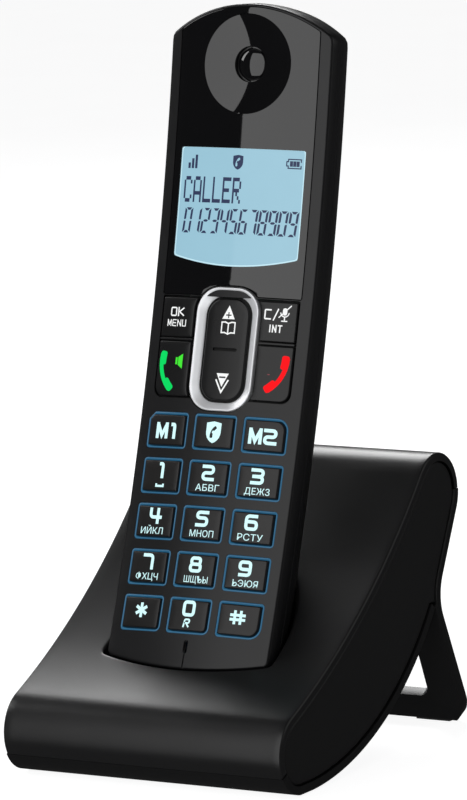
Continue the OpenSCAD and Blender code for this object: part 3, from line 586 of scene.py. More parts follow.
def body_outline(t):
    """The base's side outline without its leg, t inside the skin."""
    return np.concatenate([
        arc(NOSE_C, NOSE_R - t, 262, 90 + NOSE_TOP_A, 30),
        arc(SWEEP_C, SWEEP_R + t, NOSE_TOP_A - 90 + 0.6, CREST_FRONT_A - 90 - 0.6, 40),
        arc(CREST_C, CREST_R - t, 90 + CREST_FRONT_A, -BACK_A, 40),
        arc(fillet_c, FILLET_R + t, 180 - BACK_A, 180 + LEG_A * 0.15, 8),
        arc(UNDER_C, UNDER_R - t, under_end_a, -88.5, 40),
    ])


def anticlockwise(loop):
    """The same loop, turned to run anticlockwise."""
    area = (loop[:, 0] * np.roll(loop[:, 1], -1) - np.roll(loop[:, 0], -1) * loop[:, 1]).sum()
    return loop if area > 0 else loop[::-1]


PANEL_SUNK, PANEL_T, PANEL_GAP = 0.35, 2.2, 0.1


def make_side_panel(side):
    """The recessed end panel, with a soft rounded edge."""
    outline = anticlockwise(resample(body_outline(BASE_WALL + PANEL_GAP), 1.0))
    face, bevel = BASE_W / 2 - PANEL_SUNK, 0.8
    shape = Shape()
    rings = [np.column_stack([np.full(len(outline), side * (face - PANEL_T)), outline])]
    for a in np.linspace(90, 0, 6):
        loop = inset(outline, bevel * (1 - math.sin(rad(a))))
        rings.append(np.column_stack([np.full(len(loop), side * (face - bevel * (1 - math.cos(rad(a))))), loop]))
    shape.rings(rings).cap(rings[0])
    verts, tris = fill(rings[-1][:, 1:], [], 4.0)
    shape.add(np.column_stack([np.full(len(verts), side * face), verts]), tris)
    name = "left" if side < 0 else "right"
    panel = shape.build("base_panel_" + name, [panel_black])
    return settle(panel, "base", "base_smooth_black", "side_panel_" + name)


make_front_shell()
make_rear_cover()
make_bottom_cover()
make_side_panel(-1)
make_side_panel(1)


# ---- Handset shells ----
def half_outline():
    """Right half of the handset's outline as [u, s] points, from the lower end to the top."""
    low = [(u, END_R - math.sqrt(END_R**2 - u * u)) for u in np.linspace(0, HALF_W, 24)]
    top_s = HAND_L - TOP_R
    edge_a = math.degrees(math.acos(HALF_W / TOP_R))
    top = arc((0, top_s), TOP_R, edge_a, 90, 40)
    return np.vstack([low, top])


def hand_outline():
    """The whole outline, anticlockwise from the middle of the lower end, with soft corners and equal halves."""
    right = half_outline()
    whole = soften(np.vstack([right, right[-2:0:-1] * [-1, 1]]), 1.3, 0.25)
    right = whole[whole[:, 0] > 0.05]
    right = right[np.argsort(np.arctan2(right[:, 1] - HAND_L / 2, right[:, 0]))]
    right = np.vstack([[0, end_rise(0)], right, [0, HAND_L]])
    along = np.concatenate([[0], np.cumsum(np.hypot(*np.diff(right, axis=0).T))])
    marks = [np.interp(s, right[:, 1], along) for s in (DOOR_TOP - DOOR_GAP, DOOR_TOP + DOOR_GAP)]
    places = [np.linspace(a, b, max(2, int((b - a) / 1.3)) + 1) for a, b in
              ((0, marks[0]), marks, (marks[1], along[-1]))]
    at = np.unique(np.concatenate(places))
    right = np.stack([np.interp(at, along, right[:, k]) for k in (0, 1)], -1)
    return np.vstack([right, right[-2:0:-1] * [-1, 1]])


DOOR_GAP, HAND_EDGE, MIC_U, SKIN_T = 0.12, 0.7, 0.4, 1.2
outline = hand_outline()


def side_ring(c, depth):
    """The outline drawn in to the share c of its width, at one depth, with its ends rounded off."""
    u, s = outline[:, 0] * c, outline[:, 1]
    pull = END_INSET * (1 - c)
    near_low, near_top = np.clip(1 - s / 30, 0, 1) ** 2, np.clip(1 - (HAND_L - s) / 30, 0, 1) ** 2
    return hand_point(u, s + pull * near_low - pull * near_top, depth)


def share_at(depth):
    """Share of the handset's half width at a depth behind the widest place."""
    rise = np.clip((depth - SIDE_D) / (HAND_T - SIDE_D), 0, 1)
    return (1 - rise**BACK_EXP) ** (1 / BACK_EXP)


def key_place(k):
    return np.array([(k % 3 - 1) * PITCH_U, ROW0_S + k // 3 * PITCH_S])


def cell(k, g):
    """Outline of key k's opening about its middle, g inside."""
    radii = [3.2 if k == 14 else CELL_R, 1.9 if k == 12 else CELL_R, CELL_R, {0: 1.5, 1: 1.8, 2: 3.2}.get(k, CELL_R)]
    loop = round_rect(CELL_U - g, CELL_S - g, [max(0.3, r - g * 0.9) for r in radii])
    if k == 12:
        # The first memory key has a straight bevel instead of a round corner
        n = len(loop) // 4
        loop[n:2 * n] = np.linspace(loop[n], loop[2 * n - 1], n)
    return loop


def ring_side(s, g):
    """How far the nav ring's clearance outline, g outside the ring, reaches across at s from its middle."""
    a, b, r = NAV_U + g, NAV_H + g, NAV_R + g
    over = np.clip(np.abs(s) - (b - r), 0, r)
    return a - r + np.sqrt(r * r - over**2)


def soft_loop(side, s0, s1, g, clear, corner=0.0):
    """Outline of a soft key between s0 and s1 beside the nav ring, g inside its space."""
    s = np.linspace(s0 + g, s1 - g, 40)
    inner = np.stack([ring_side(s - NAV_S, clear + g), s], -1)
    out = SOFT_OUT - g
    outer = np.array([[out, s1 - g], [out, s0 + g]])
    if corner:
        bend = arc((out - corner, s0 + g + corner), corner, 0, -90, 10)
        outer = np.vstack([[[out, s1 - g]], bend])
    loop = np.vstack([outer[::-1], inner[::-1]])
    return anticlockwise(soften(loop * [side, 1], 0.35, 0.12))


RING_CLEAR, SOFT_GAP, STRIP_GAP, SOFT_CORNER = 0.4, 0.35, 0.2, 2.6


# The window's lower edge dips round the ring: a bend's radius, half its flat middle, half its width
DIP_R, DIP_FLAT, DIP_U = 7.4, 2.6, 9.0
LENS_TOP_IN = 1.0


def lens_loop(g):
    """Outline of the glossy window, g inside: straight sides under the round top."""
    half = LENS_U - g
    top = TOP_R - LENS_TOP_IN - g
    edge_a = math.degrees(math.acos(half / top))
    bend = arc((0, HAND_L - TOP_R), top, edge_a, 180 - edge_a, 60)
    low = LENS_LOW + g
    foot = NAV_S + NAV_H + RING_CLEAR + g - DIP_R
    dip = [(u, foot + math.sqrt(max(0, DIP_R**2 - max(0, abs(u) - DIP_FLAT) ** 2)))
           for u in np.linspace(-DIP_U, DIP_U, 41)]
    dip = [(u, max(s, low)) for u, s in dip]
    return soften(np.vstack([dip, [[half, low]], bend, [[-half, low]]]), 0.3, 0.2)


def make_front():
    holes = [resample(cell(k, 0) + key_place(k), 0.45) for k in range(len(KEY_IDS))]
    holes.append(resample(cluster_loop(), 0.5))
    holes.append(resample(lens_loop(-0.12), 0.7))
    shape = Shape()
    face = inset(outline, HAND_EDGE + 0.25)
    verts, tris = fill(face, holes, 1.5)
    shape.add(on_face(verts, 0), tris)
    rings = []
    for a in np.linspace(0, 90, 7):
        loop = inset(outline, 0.25 + HAND_EDGE * (1 - math.sin(rad(a))))
        rings.append(on_face(loop, HAND_EDGE * (1 - math.cos(rad(a)))))
    rings.append(side_ring(1.0, SIDE_D))
    rings += [side_ring(share_at(d), d) for d in (5.0, 6.0, SPLIT_D - 0.06)]
    shape.rings(rings)
    front = shape.build("handset_face", [hand_black])
    thicken(front, SKIN_T)
    slot = round_rect(0.6, 1.75, 0.59) + [MIC_U, 6.0]
    left, right, low, high = MIC_U - 0.2, MIC_U + 0.2, -2.0, 5.0
    line = np.array([(left, low), (right, low), (right, high), (left, high)])
    tools = []
    for loop, depth in ((slot, 2.5), (line, 0.35)):
        ends = [on_face(loop, -1.0), on_face(loop, depth)]
        tools.append(Shape().rings(ends).cap(ends[0]).cap(ends[1]).build("mic_cut", []))
    cut(front, *tools)
    return settle(front, "handset", "handset_black", "handset_front_shell")


def cluster_loop():
    """Outline of the recess that holds the nav ring and the four soft keys."""
    c = SOFT_CORNER
    corner = arc((SOFT_OUT + 0.1 - c, SOFT_LOW - 0.1 + c), c, -90, 0, 8)
    low = [(u, NAV_S - ring_reach(u)) for u in np.linspace(-9.0, 9.0, 31)]
    low = [(u, min(v, SOFT_LOW - 0.1)) for u, v in low]
    return soften(np.vstack([low, corner, [[SOFT_OUT + 0.1, LENS_LOW - 0.3]],
                             [[-SOFT_OUT - 0.1, LENS_LOW - 0.3]], corner[::-1] * [-1, 1]]), 0.3, 0.2)


def ring_reach(u):
    """Half height of the nav ring's clearance at u."""
    b, r, a = NAV_H + 0.3, NAV_R + 0.3, NAV_U + 0.3
    return b - r + math.sqrt(max(0, r * r - max(0, abs(u) - (a - r)) ** 2))


def make_back():
    """The rear shell and the battery door share one skin, cut at the door's edge."""
    n = len(outline)
    depths = [SPLIT_D + 0.06, 8, 9.5, 11, DOOR_D - 0.1, DOOR_D + 0.1, 14, 15.5, 17, 18.3, 19.5]
    shares = [share_at(d) for d in depths]
    tail = np.linspace(shares[-1], 0, 9)[1:]
    depths += [SIDE_D + (HAND_T - SIDE_D) * (1 - c**BACK_EXP) ** (1 / BACK_EXP) for c in tail]
    shares += list(tail)
    rings = [side_ring(c, d) for c, d in zip(shares, depths)]
    s = outline[:, 1]
    shell, door = Shape(), Shape()
    for k in range(len(rings) - 1):
        low = 0.5 * (depths[k] + depths[k + 1])
        for i in range(n):
            j = (i + 1) % n
            mid = 0.5 * (s[i] + s[j])
            quad = [rings[k][i], rings[k][j], rings[k + 1][j], rings[k + 1][i]]
            if abs(mid - DOOR_TOP) < DOOR_GAP and low > DOOR_D - 0.1 or abs(low - DOOR_D) < 0.05 and mid < DOOR_TOP:
                continue
            (door if mid < DOOR_TOP and low > DOOR_D else shell).add(quad, [(0, 1, 2, 3)])
    back = shell.build("handset_back", [hand_black], weld=0.01)
    thicken(back, SKIN_T)
    slots = []
    for u in (-14, -7, 0, 7, 14):
        loop = round_rect(0.8, 6.0, 0.79, n=6) + [u, 150]
        tool = [hand_point(loop[:, 0], loop[:, 1], d) for d in (15, 30)]
        slots.append(Shape().rings(tool).cap(tool[0]).cap(tool[1]).build("slot", []))
    cut(back, *slots)
    round_edges(back, 0.15, angle=50)
    settle(back, "handset", "handset_black", "handset_rear_shell")
    lid = door.build("handset_door", [hand_black], weld=0.01)
    thicken(lid, SKIN_T)
    round_edges(lid, 0.15, angle=50)
    settle(lid, "battery_door", "handset_black", "battery_door")


# ---- Buttons ----
def button(name, loop, proud, edge, material, body, slot, nodes, deep=KEY_DEEP, step=1.2):
    """A key with the [u, s] loop as its outline, standing proud of the face, with rounded edges."""
    loop = resample(loop, 0.3)
    shape = Shape()
    rings = [on_face(loop, deep)]
    for a in np.linspace(90, 0, 5):
        ring = inset(loop, edge * (1 - math.sin(rad(a))))
        rings.append(on_face(ring, -proud + edge * (1 - math.cos(rad(a)))))
    verts, tris = fill(inset(loop, edge), [], step)
    shape.rings(rings).cap(rings[0])
    shape.add(on_face(verts, -proud), tris)
    return settle(shape.build(name, [material]), body, slot, *nodes)


RIM_W, KEY_GAP = 0.55, 0.18


def make_keys():
    for k, key in enumerate(KEY_IDS):
        node = "key_" + key
        button("button_" + key, cell(k, RIM_W + KEY_GAP) + key_place(k), KEY_PROUD, 0.45, key_black,
               node, "key_black", [node])


def make_rims():
    """The lit rims round the keys: the edges of one light guide under the keypad."""
    shape = Shape()
    for k in range(len(KEY_IDS)):
        mid = key_place(k)
        loops = [cell(k, g) + mid for g in (0.06, 0.06, 0.14, 0.30, 0.44, 0.5, 0.5)]
        depths = [2.5, 0.12, 0.02, -0.02, 0.05, 0.2, 2.5]
        rings = [on_face(loop, d) for loop, d in zip(loops, depths)]
        shape.rings(rings + rings[:1])
    rims = shape.build("keypad_rims", [glow_blue])
    return settle(rims, "handset", "glow_blue", "keypad_light_guide")


def make_cluster():
    loops = {
        "key_ok_menu": soft_loop(-1, SOFT_MID + STRIP_GAP, SOFT_TOP, SOFT_GAP, RING_CLEAR),
        "key_clear_int": soft_loop(1, SOFT_MID + STRIP_GAP, SOFT_TOP, SOFT_GAP, RING_CLEAR),
        "key_talk": soft_loop(-1, SOFT_LOW, SOFT_MID - STRIP_GAP, SOFT_GAP, RING_CLEAR, SOFT_CORNER),
        "key_end": soft_loop(1, SOFT_LOW, SOFT_MID - STRIP_GAP, SOFT_GAP, RING_CLEAR, SOFT_CORNER),
    }
    for node, loop in loops.items():
        button("button_" + node[4:], loop, 0.3, 0.35, cluster_black, node, "key_black", [node])
    # The bed under the soft keys, painted near-black, darker than its own grey, as painted shade in the gaps between
    # the keys
    bed = resample(inset(cluster_loop(), 0.1), 0.5)
    shape = Shape()
    rings = [on_face(bed, 3.2), on_face(bed, 1.1)]
    verts, tris = fill(bed, [], 1.5)
    shape.rings(rings).cap(rings[0])
    shape.add(on_face(verts, 1.1), tris)
    settle(shape.build("key_bed", [painted_gap_shade]), "handset", "silicone_grey", "keypad_mat")


def blended_rect(share):
    """Outline between the nav ring's outside (share 0) and the rocker's edge (share 1)."""
    outer = round_rect(NAV_U, NAV_H, NAV_R, n=14)
    inner = round_rect(ROCK_U + ROCK_GAP, ROCK_H + ROCK_GAP, ROCK_R + 0.2, n=14)
    return outer + (inner - outer) * share + [0, NAV_S]


def make_ring():
    """The satin ring: a band that falls inwards from a rounded outer edge towards the rocker."""
    section = [(0.0, 2.2), (0.0, 0.1), (0.01, -0.08), (0.05, -0.2), (0.11, -0.25), (0.17, -0.2), (0.36, 0.14),
               (0.62, 0.60), (0.84, 0.98), (0.88, 1.08), (0.90, 1.3), (0.90, 2.2)]
    rings = [on_face(blended_rect(share), depth) for share, depth in section]
    ring = Shape().rings(rings + rings[:1]).build("nav_ring_satin", [satin_silver], sharp=60)
    return settle(ring, "handset", "satin_silver", "nav_ring")


def make_rocker():
    loop = resample(round_rect(ROCK_U, ROCK_H, ROCK_R, n=12) + [0, NAV_S], 0.4)
    groove = resample(round_rect(3.6, 0.42, 0.41, n=5) + [0, NAV_S], 0.2)
    shape = Shape()
    rings = [on_face(loop, 3.2)]
    for a in np.linspace(90, 0, 6):
        rings.append(on_face(inset(loop, 0.5 * (1 - math.sin(rad(a)))), ROCK_D + 0.5 * (1 - math.cos(rad(a)))))
    verts, tris = fill(inset(loop, 0.5), [groove], 1.2)
    shape.rings(rings).cap(rings[0])
    shape.add(on_face(verts, ROCK_D), tris)
    bottom = on_face(groove, ROCK_D + 1.2)
    shape.rings([on_face(groove, ROCK_D), bottom]).cap(bottom)
    return settle(shape.build("nav_rocker_key", [cluster_black]), "nav_rocker", "key_black", "nav_rocker")


# ---- Window, earpiece and display ----
def lcd_loop(g=0.0):
    """Outline of the display, g inside, with its lower edge bowed downwards."""
    us = np.linspace(-LCD_U + g, LCD_U - g, 41)
    low = LCD_MID_LOW + (LCD_SIDE_LOW - LCD_MID_LOW) * (us / LCD_U) ** 2 + g
    loop = np.vstack([np.stack([us, low], -1), [[LCD_U - g, LCD_TOP - g], [-LCD_U + g, LCD_TOP - g]]])
    return soften(loop, 0.5, 0.2)


def bowl(r):
    """Depth of the earpiece dish below its rim."""
    return np.sqrt(BOWL_R**2 - r**2) - math.sqrt(BOWL_R**2 - EAR_R**2)


def make_window():
    circle = round_rect(EAR_R, EAR_R, EAR_R - 1e-3, n=24) + [0, EAR_S]
    display = resample(lcd_loop(), 0.6)
    loop = resample(lens_loop(0), 0.7)
    shape = Shape()
    verts, tris = fill(inset(loop, 0.25), [circle, display], 1.6)
    shape.add(on_face(verts, 0), tris)
    rings = [on_face(inset(loop, 0.25 * (1 - math.sin(rad(a)))), 0.25 * (1 - math.cos(rad(a))))
             for a in np.linspace(0, 90, 4)]
    shape.rings([*rings, on_face(loop, 1.2)])
    shape.rings([on_face(circle, 0), on_face(circle, 1.2)])
    shape.rings([on_face(display, 0), on_face(display, 1.2)])
    verts, tris = fill(loop, [circle, display], 3.0)
    shape.add(on_face(verts, 1.2), tris)
    lens = shape.build("window_gloss", [gloss_black], sharp=30)
    settle(lens, "handset", "gloss_black", "display_window")


def polar(radius, n=96):
    a = np.radians(np.arange(n) * 360 / n)
    return np.stack([radius * np.cos(a), radius * np.sin(a) + EAR_S], -1)


DOME_R, DOME_BEND = 4.15, 8.3


def make_earpiece():
    """The dish, a groove, and a polished dome in the middle."""
    rings = [on_face(polar(EAR_R - 0.06), 3.6), on_face(polar(EAR_R - 0.06), 0.1)]
    for r in np.linspace(EAR_R - 0.12, DOME_R + 0.5, 22):
        rings.append(on_face(polar(r), bowl(r)))
    foot = bowl(DOME_R) + 0.85
    rings += [on_face(polar(DOME_R + 0.4), foot - 0.75), on_face(polar(DOME_R + 0.35), foot + 0.3),
              on_face(polar(DOME_R + 0.02), foot + 0.3), on_face(polar(DOME_R), foot + 0.1)]
    rise = math.sqrt(DOME_BEND**2 - DOME_R**2)
    for r in np.linspace(DOME_R - 0.05, 0.01, 14):
        rings.append(on_face(polar(r), foot + rise - math.sqrt(DOME_BEND**2 - r * r)))
    dish = Shape().rings(rings).cap(rings[0]).build("earpiece_dish", [gloss_black], sharp=40)
    settle(dish, "handset", "gloss_black", "earpiece_cap")


def make_display():
    """The lit pane, with a brighter edge along its sides and foot."""
    loop = resample(lcd_loop(0.04), 0.6)
    inner = resample(lcd_loop(0.4), 0.6)
    inner[:, 1] = np.where(inner[:, 1] > LCD_TOP - 0.6, LCD_TOP - 0.06, inner[:, 1])
    shape = Shape()
    verts, tris = fill(inner, [], 2.0)
    shape.add(on_face(verts, 0.25), tris)
    verts, tris = fill(loop, [inner], 2.0)
    shape.add(on_face(verts, 0.25), tris, 1).rings([on_face(loop, 0.25), on_face(loop, 1.1)], 1)
    shape.cap(on_face(loop, 1.1))
    pane = shape.build("display_pane", [lcd_glow, lcd_edge])
    settle(pane, "handset", "lcd_blue", "lcd_module")


make_front()
make_back()
make_keys()
make_rims()
make_cluster()
make_ring()
make_rocker()
make_window()
make_earpiece()
make_display()


# ---- Legends: thin closed plates laid on the surface they belong to ----
def union(adds, cuts=()):
    """Triangles that cover the closed loops in adds, which may overlap, apart from those in cuts."""
    points, edges = [], []
    for loop in (*adds, *cuts):
        k, n = sum(len(p) for p in points), len(loop)
        points.append(np.asarray(loop, float))
        edges += [(k + i, k + (i + 1) % n) for i in range(n)]
    out = delaunay_2d_cdt([Vector(p) for p in np.concatenate(points)], edges, [], 0, 1e-4)
    verts = np.array([tuple(v) for v in out[0]])
    tris = np.array([tuple(f) for f in out[2]])
    mid = verts[tris].mean(1)
    keep = np.zeros(len(mid), bool)
    for loop in adds:
        keep |= inside(mid, np.asarray(loop))
    for loop in cuts:
        keep &= ~inside(mid, np.asarray(loop))
    return verts, tris[keep]


def lay(shape, plate, depth, thick=0.05):
    """Adds a closed plate: its top at the depth below the face, its underside thick below that."""
    verts, tris = plate
    n = len(verts)
    edges = {(int(t[i]), int(t[(i + 1) % 3])) for t in tris for i in range(3)}
    rim = [(a, b) for a, b in edges if (b, a) not in edges]
    faces = [tuple(t) for t in tris] + [tuple(t[::-1] + n) for t in tris]
    faces += [(b, a, a + n, b + n) for a, b in rim]
    shape.add(np.vstack([on_face(verts, depth), on_face(verts, depth + thick)]), faces)


def round_path(points, radius, n=5):
    """The open path with its corners rounded."""
    points = [np.array(p, float) for p in points]
    path = [points[0]]
    for a, b, c in zip(points, points[1:], points[2:]):
        ends = []
        for e in (a, c):
            length = np.hypot(*(e - b))
            ends.append(b + (e - b) / length * min(radius, 0.5 * length))
        path += [(1 - t)**2 * ends[0] + 2 * t * (1 - t) * b + t * t * ends[1] for t in np.linspace(0, 1, n + 1)]
    return np.array(path + [points[-1]])


def stroke(points, width, radius=0.0):
    """Outline of a band along the open path, with square ends."""
    path = round_path(points, radius) if radius else np.array(points, float)
    step = np.diff(path, axis=0)
    keep = np.hypot(*step.T) > 1e-6
    path, step = np.vstack([path[:-1][keep], path[-1:]]), step[keep]
    step /= np.hypot(*step.T)[:, None]
    path[0] -= step[0] * width / 2
    path[-1] += step[-1] * width / 2
    side = np.stack([-step[:, 1], step[:, 0]], -1)
    mean = np.vstack([side[:1], side[:-1] + side[1:], side[-1:]])
    mean /= np.maximum((mean**2).sum(1)[:, None] / np.vstack([[[1]], np.full((len(side) - 1, 1), 2), [[1]]]), 0.35)
    return np.vstack([path + mean * width / 2, (path - mean * width / 2)[::-1]])


# Each character as paths in a box from 0 to 1, to the middle of its strokes
GLYPHS = {
    "0": [[(0.5, 1), (0, 1), (0, 0), (0.5, 0)], [(0.5, 1), (1, 1), (1, 0), (0.5, 0)]],
    "1": [[(0.1, 1), (0.7, 1), (0.7, 0)]],
    "2": [[(0, 1), (1, 1), (1, 0.5), (0, 0.5), (0, 0), (1, 0)]],
    "3": [[(0, 1), (1, 1), (1, 0.52), (0.15, 0.5)], [(0.15, 0.5), (1, 0.48), (1, 0), (0, 0)]],
    "4": [[(0, 1), (0, 0.4), (1.08, 0.4)], [(0.8, 1), (0.8, 0)]],
    "5": [[(1, 1), (0, 1), (0, 0.56), (1, 0.56), (1, 0), (0, 0)]],
    "6": [[(0.92, 1), (0, 1), (0, 0), (0.5, 0)], [(0.5, 0), (1, 0), (1, 0.56), (0.1, 0.56)]],
    "7": [[(0, 1), (0.9, 1), (0.9, 0)]],
    "8": [[(0.5, 1), (0.06, 1), (0.06, 0.52), (0.5, 0.52)], [(0.5, 1), (0.94, 1), (0.94, 0.52), (0.5, 0.52)],
          [(0.5, 0.52), (0, 0.52), (0, 0), (0.5, 0)], [(0.5, 0.52), (1, 0.52), (1, 0), (0.5, 0)]],
    "9": [[(0.08, 0), (1, 0), (1, 1), (0.5, 1)], [(0.5, 1), (0, 1), (0, 0.44), (0.9, 0.44)]],
    "M": [[(0, 0), (0, 1)], [(1, 0), (1, 1)], [(0.08, 0.9), (0.5, 0.12), (0.92, 0.9)]],
    "O": [[(0.5, 1), (0, 1), (0, 0), (0.5, 0)], [(0.5, 1), (1, 1), (1, 0), (0.5, 0)]],
    "K": [[(0, 0), (0, 1)], [(0.95, 0.95), (0.16, 0.5), (1, 0.05)]],
    "E": [[(1, 1), (0, 1), (0, 0), (1, 0)], [(0.1, 0.5), (0.9, 0.5)]],
    "N": [[(0, 0), (0, 1)], [(1, 0), (1, 1)], [(0.1, 0.88), (0.9, 0.12)]],
    "U": [[(0, 1), (0, 0), (1, 0), (1, 1)]],
    "C": [[(1, 1), (0, 1), (0, 0), (1, 0)]],
    "I": [[(0.5, 0), (0.5, 1)]],
    "T": [[(0, 1), (1, 1)], [(0.5, 0.9), (0.5, 0)]],
    "R": [[(0, 0), (0, 1), (0.95, 1), (0.95, 0.5), (0.1, 0.5)], [(0.5, 0.42), (0.95, 0.03)]],
    "#": [[(0.27, 0), (0.27, 1)], [(0.73, 0), (0.73, 1)], [(0, 0.3), (1, 0.3)], [(0, 0.7), (1, 0.7)]],
    "/": [[(0, 0), (1, 1)]],
    "_": [[(0, 0.5), (0, 0), (1, 0), (1, 0.5)]],
}


def letter(char, center, size, width, radius=0.0, lean=0.0):
    """Outlines of one character: size is its whole width and height, width that of its strokes."""
    box = np.array(size, float) - width
    loops = []
    for path in GLYPHS[char]:
        at = (np.array(path, float) - 0.5) * box
        at[:, 0] += lean * at[:, 1]
        loops.append(stroke(at + center, width, radius))
    return loops


def spell(text, center, size, width, gap, radius=0.0, thin="1I", thin_share=0.45, lean=0.0):
    """Outlines of a word about its center."""
    wide = [size[0] * (thin_share if c in thin else 1) for c in text]
    x = center[0] - 0.5 * (sum(wide) + gap * (len(text) - 1))
    loops = []
    for c, w in zip(text, wide):
        loops += letter(c, (x + w / 2, center[1]), (w, size[1]), width, radius, lean)
        x += w + gap
    return loops


def shield_loop(center, w, h):
    """A shield: an arched top with a low peak, straight sides and a pointed foot."""
    right = [(0, 0.5), (0.2, 0.475), (0.36, 0.45), (0.5, 0.43), (0.5, -0.02), (0.47, -0.14), (0.41, -0.25),
             (0.31, -0.35), (0.17, -0.44), (0, -0.5)]
    right = np.array(right)[::-1]
    loop = np.vstack([right, right[-2:0:-1] * [-1, 1]])
    return loop * [w, h] + center


def phone_loops(center, length, tilt, side, thin, lobe):
    """A handset: a bowed handle between two lobes that face the hollow side (side 1 is right)."""
    bow = 0.95 * length
    half = math.degrees(math.asin(0.5 * length / bow))
    loops = []
    for a0, a1, width, shift, n in ((-half * 0.8, half * 0.8, thin, 0.0, 16),
                                    (half * 0.56, half * 0.86, lobe, 0.24 * lobe, 4),
                                    (-half * 0.86, -half * 0.56, lobe, 0.24 * lobe, 4)):
        path = arc((bow - 0.16 * length, 0), bow - shift, 180 - a1, 180 - a0, n)
        loop = stroke(path, width)
        loops.append(soften(loop, 0.28 * width, 0.08 * width) if width == lobe else loop)
    c, s = math.cos(rad(tilt)), math.sin(rad(tilt))
    turn = np.array([[c, s], [-s, c]])
    return [(loop * [side, 1]) @ turn + center for loop in loops]


def font_plate(text, center, width, height, bolden=0.0):
    """Triangles of a printed word of the given width and capital height."""
    curve = bpy.data.curves.new("word", "FONT")
    curve.body = text
    curve.offset = bolden
    curve.resolution_u = 4
    temp = bpy.data.objects.new("word", curve)
    bpy.context.scene.collection.objects.link(temp)
    mesh = bpy.data.meshes.new_from_object(temp)
    bm = bmesh.new()
    bm.from_mesh(mesh)
    bmesh.ops.triangulate(bm, faces=bm.faces)
    bmesh.ops.remove_doubles(bm, verts=bm.verts, dist=1e-5)
    bm.verts.index_update()
    verts = np.array([tuple(v.co)[:2] for v in bm.verts])
    tris = np.array([[v.index for v in f.verts] for f in bm.faces])
    bm.free()
    bpy.data.objects.remove(temp)
    bpy.data.curves.remove(curve)
    bpy.data.meshes.remove(mesh)
    low, high = verts.min(0), verts.max(0)
    verts = (verts - [(low[0] + high[0]) / 2, 0]) * [width / (high[0] - low[0]), height / CAPITAL]
    return verts + [center[0], center[1] - height / 2], tris


CAPITAL = 0.729
KEY_TOP = -KEY_PROUD - 0.02


def legend(name, plates, depth, material, body):
    shape = Shape()
    for plate in plates:
        lay(shape, plate, depth)
    settle(shape.build(name, [material], weld=0.0005), body, "key_black")


KEY_WORDS = {"2": "АБВГ", "3": "ДЕЖЗ", "4": "ИЙКЛ", "5": "МНОП", "6": "РСТУ", "7": "ФХЦЧ", "8": "ШЩЪЫ", "9": "ЬЭЮЯ"}
DIGIT = (3.75, 4.15)
DIGIT_W, DIGIT_BEND = 0.86, 0.95


def make_key_legends():
    for k, key in enumerate(KEY_IDS):
        mid = key_place(k) + KEY_SHIFT[k % 3]
        plates = []
        if key in KEY_WORDS:
            plates.append(union(letter(key, mid + [0, 1.35], DIGIT, DIGIT_W, DIGIT_BEND)))
            plates.append(font_plate(KEY_WORDS[key], mid + [WORD_SHIFT[key], -2.45], 7.0, 1.75))
        elif key == "1":
            plates.append(union(letter("1", mid + [0.2, 1.35], (2.0, 4.15), DIGIT_W, 0.7)))
            plates.append(union(letter("_", mid + [0, -2.4], (2.7, 1.25), 0.55)))
        elif key == "0":
            plates.append(union(letter("0", mid + [0, 1.8], DIGIT, DIGIT_W, DIGIT_BEND)))
            plates.append(union(letter("R", mid + [-0.1, -1.95], (1.9, 2.3), 0.45, 0.4, 0.15)))
        elif key == "star":
            arms = [[(1.5 * math.cos(rad(a)), 1.5 * math.sin(rad(a))),
                     (-1.5 * math.cos(rad(a)), -1.5 * math.sin(rad(a)))] for a in (90, 30, 150)]
            plates.append(union([stroke(arm, 0.82) + mid + [0, 0.6] for arm in arms]))
        elif key == "hash":
            plates.append(union(letter("#", mid + [0, 0.6], (4.3, 3.6), 0.72)))
        elif key == "block":
            plates.append(union([shield_loop(mid, 4.3, 5.6)],
                                phone_loops(mid + [-0.1, 0.05], 3.0, -24, 1, 0.42, 0.85)))
        elif key == "m1":
            plates.append(union(letter("M", mid + [-1.35, -0.2], (3.75, 4.15), 0.9)
                                + letter("1", mid + [2.3, -0.2], (2.0, 4.15), 0.9, 0.7)))
        else:
            plates.append(union(letter("M", mid + [-2.0, -0.2], (3.75, 4.15), 0.9)
                                + letter("2", mid + [2.15, -0.2], DIGIT, 0.9, DIGIT_BEND)))
        legend("legend_" + key, plates, KEY_TOP, legend_lit, "key_" + key)


KEY_SHIFT = ([0.05, 0.0], [0.05, 0.0], [-0.3, 0.0])
WORD_SHIFT = {"2": 0.2, "3": 0.35, "4": -0.5, "5": 0.35, "6": 0.1, "7": 0.0, "8": 0.6, "9": 0.6}


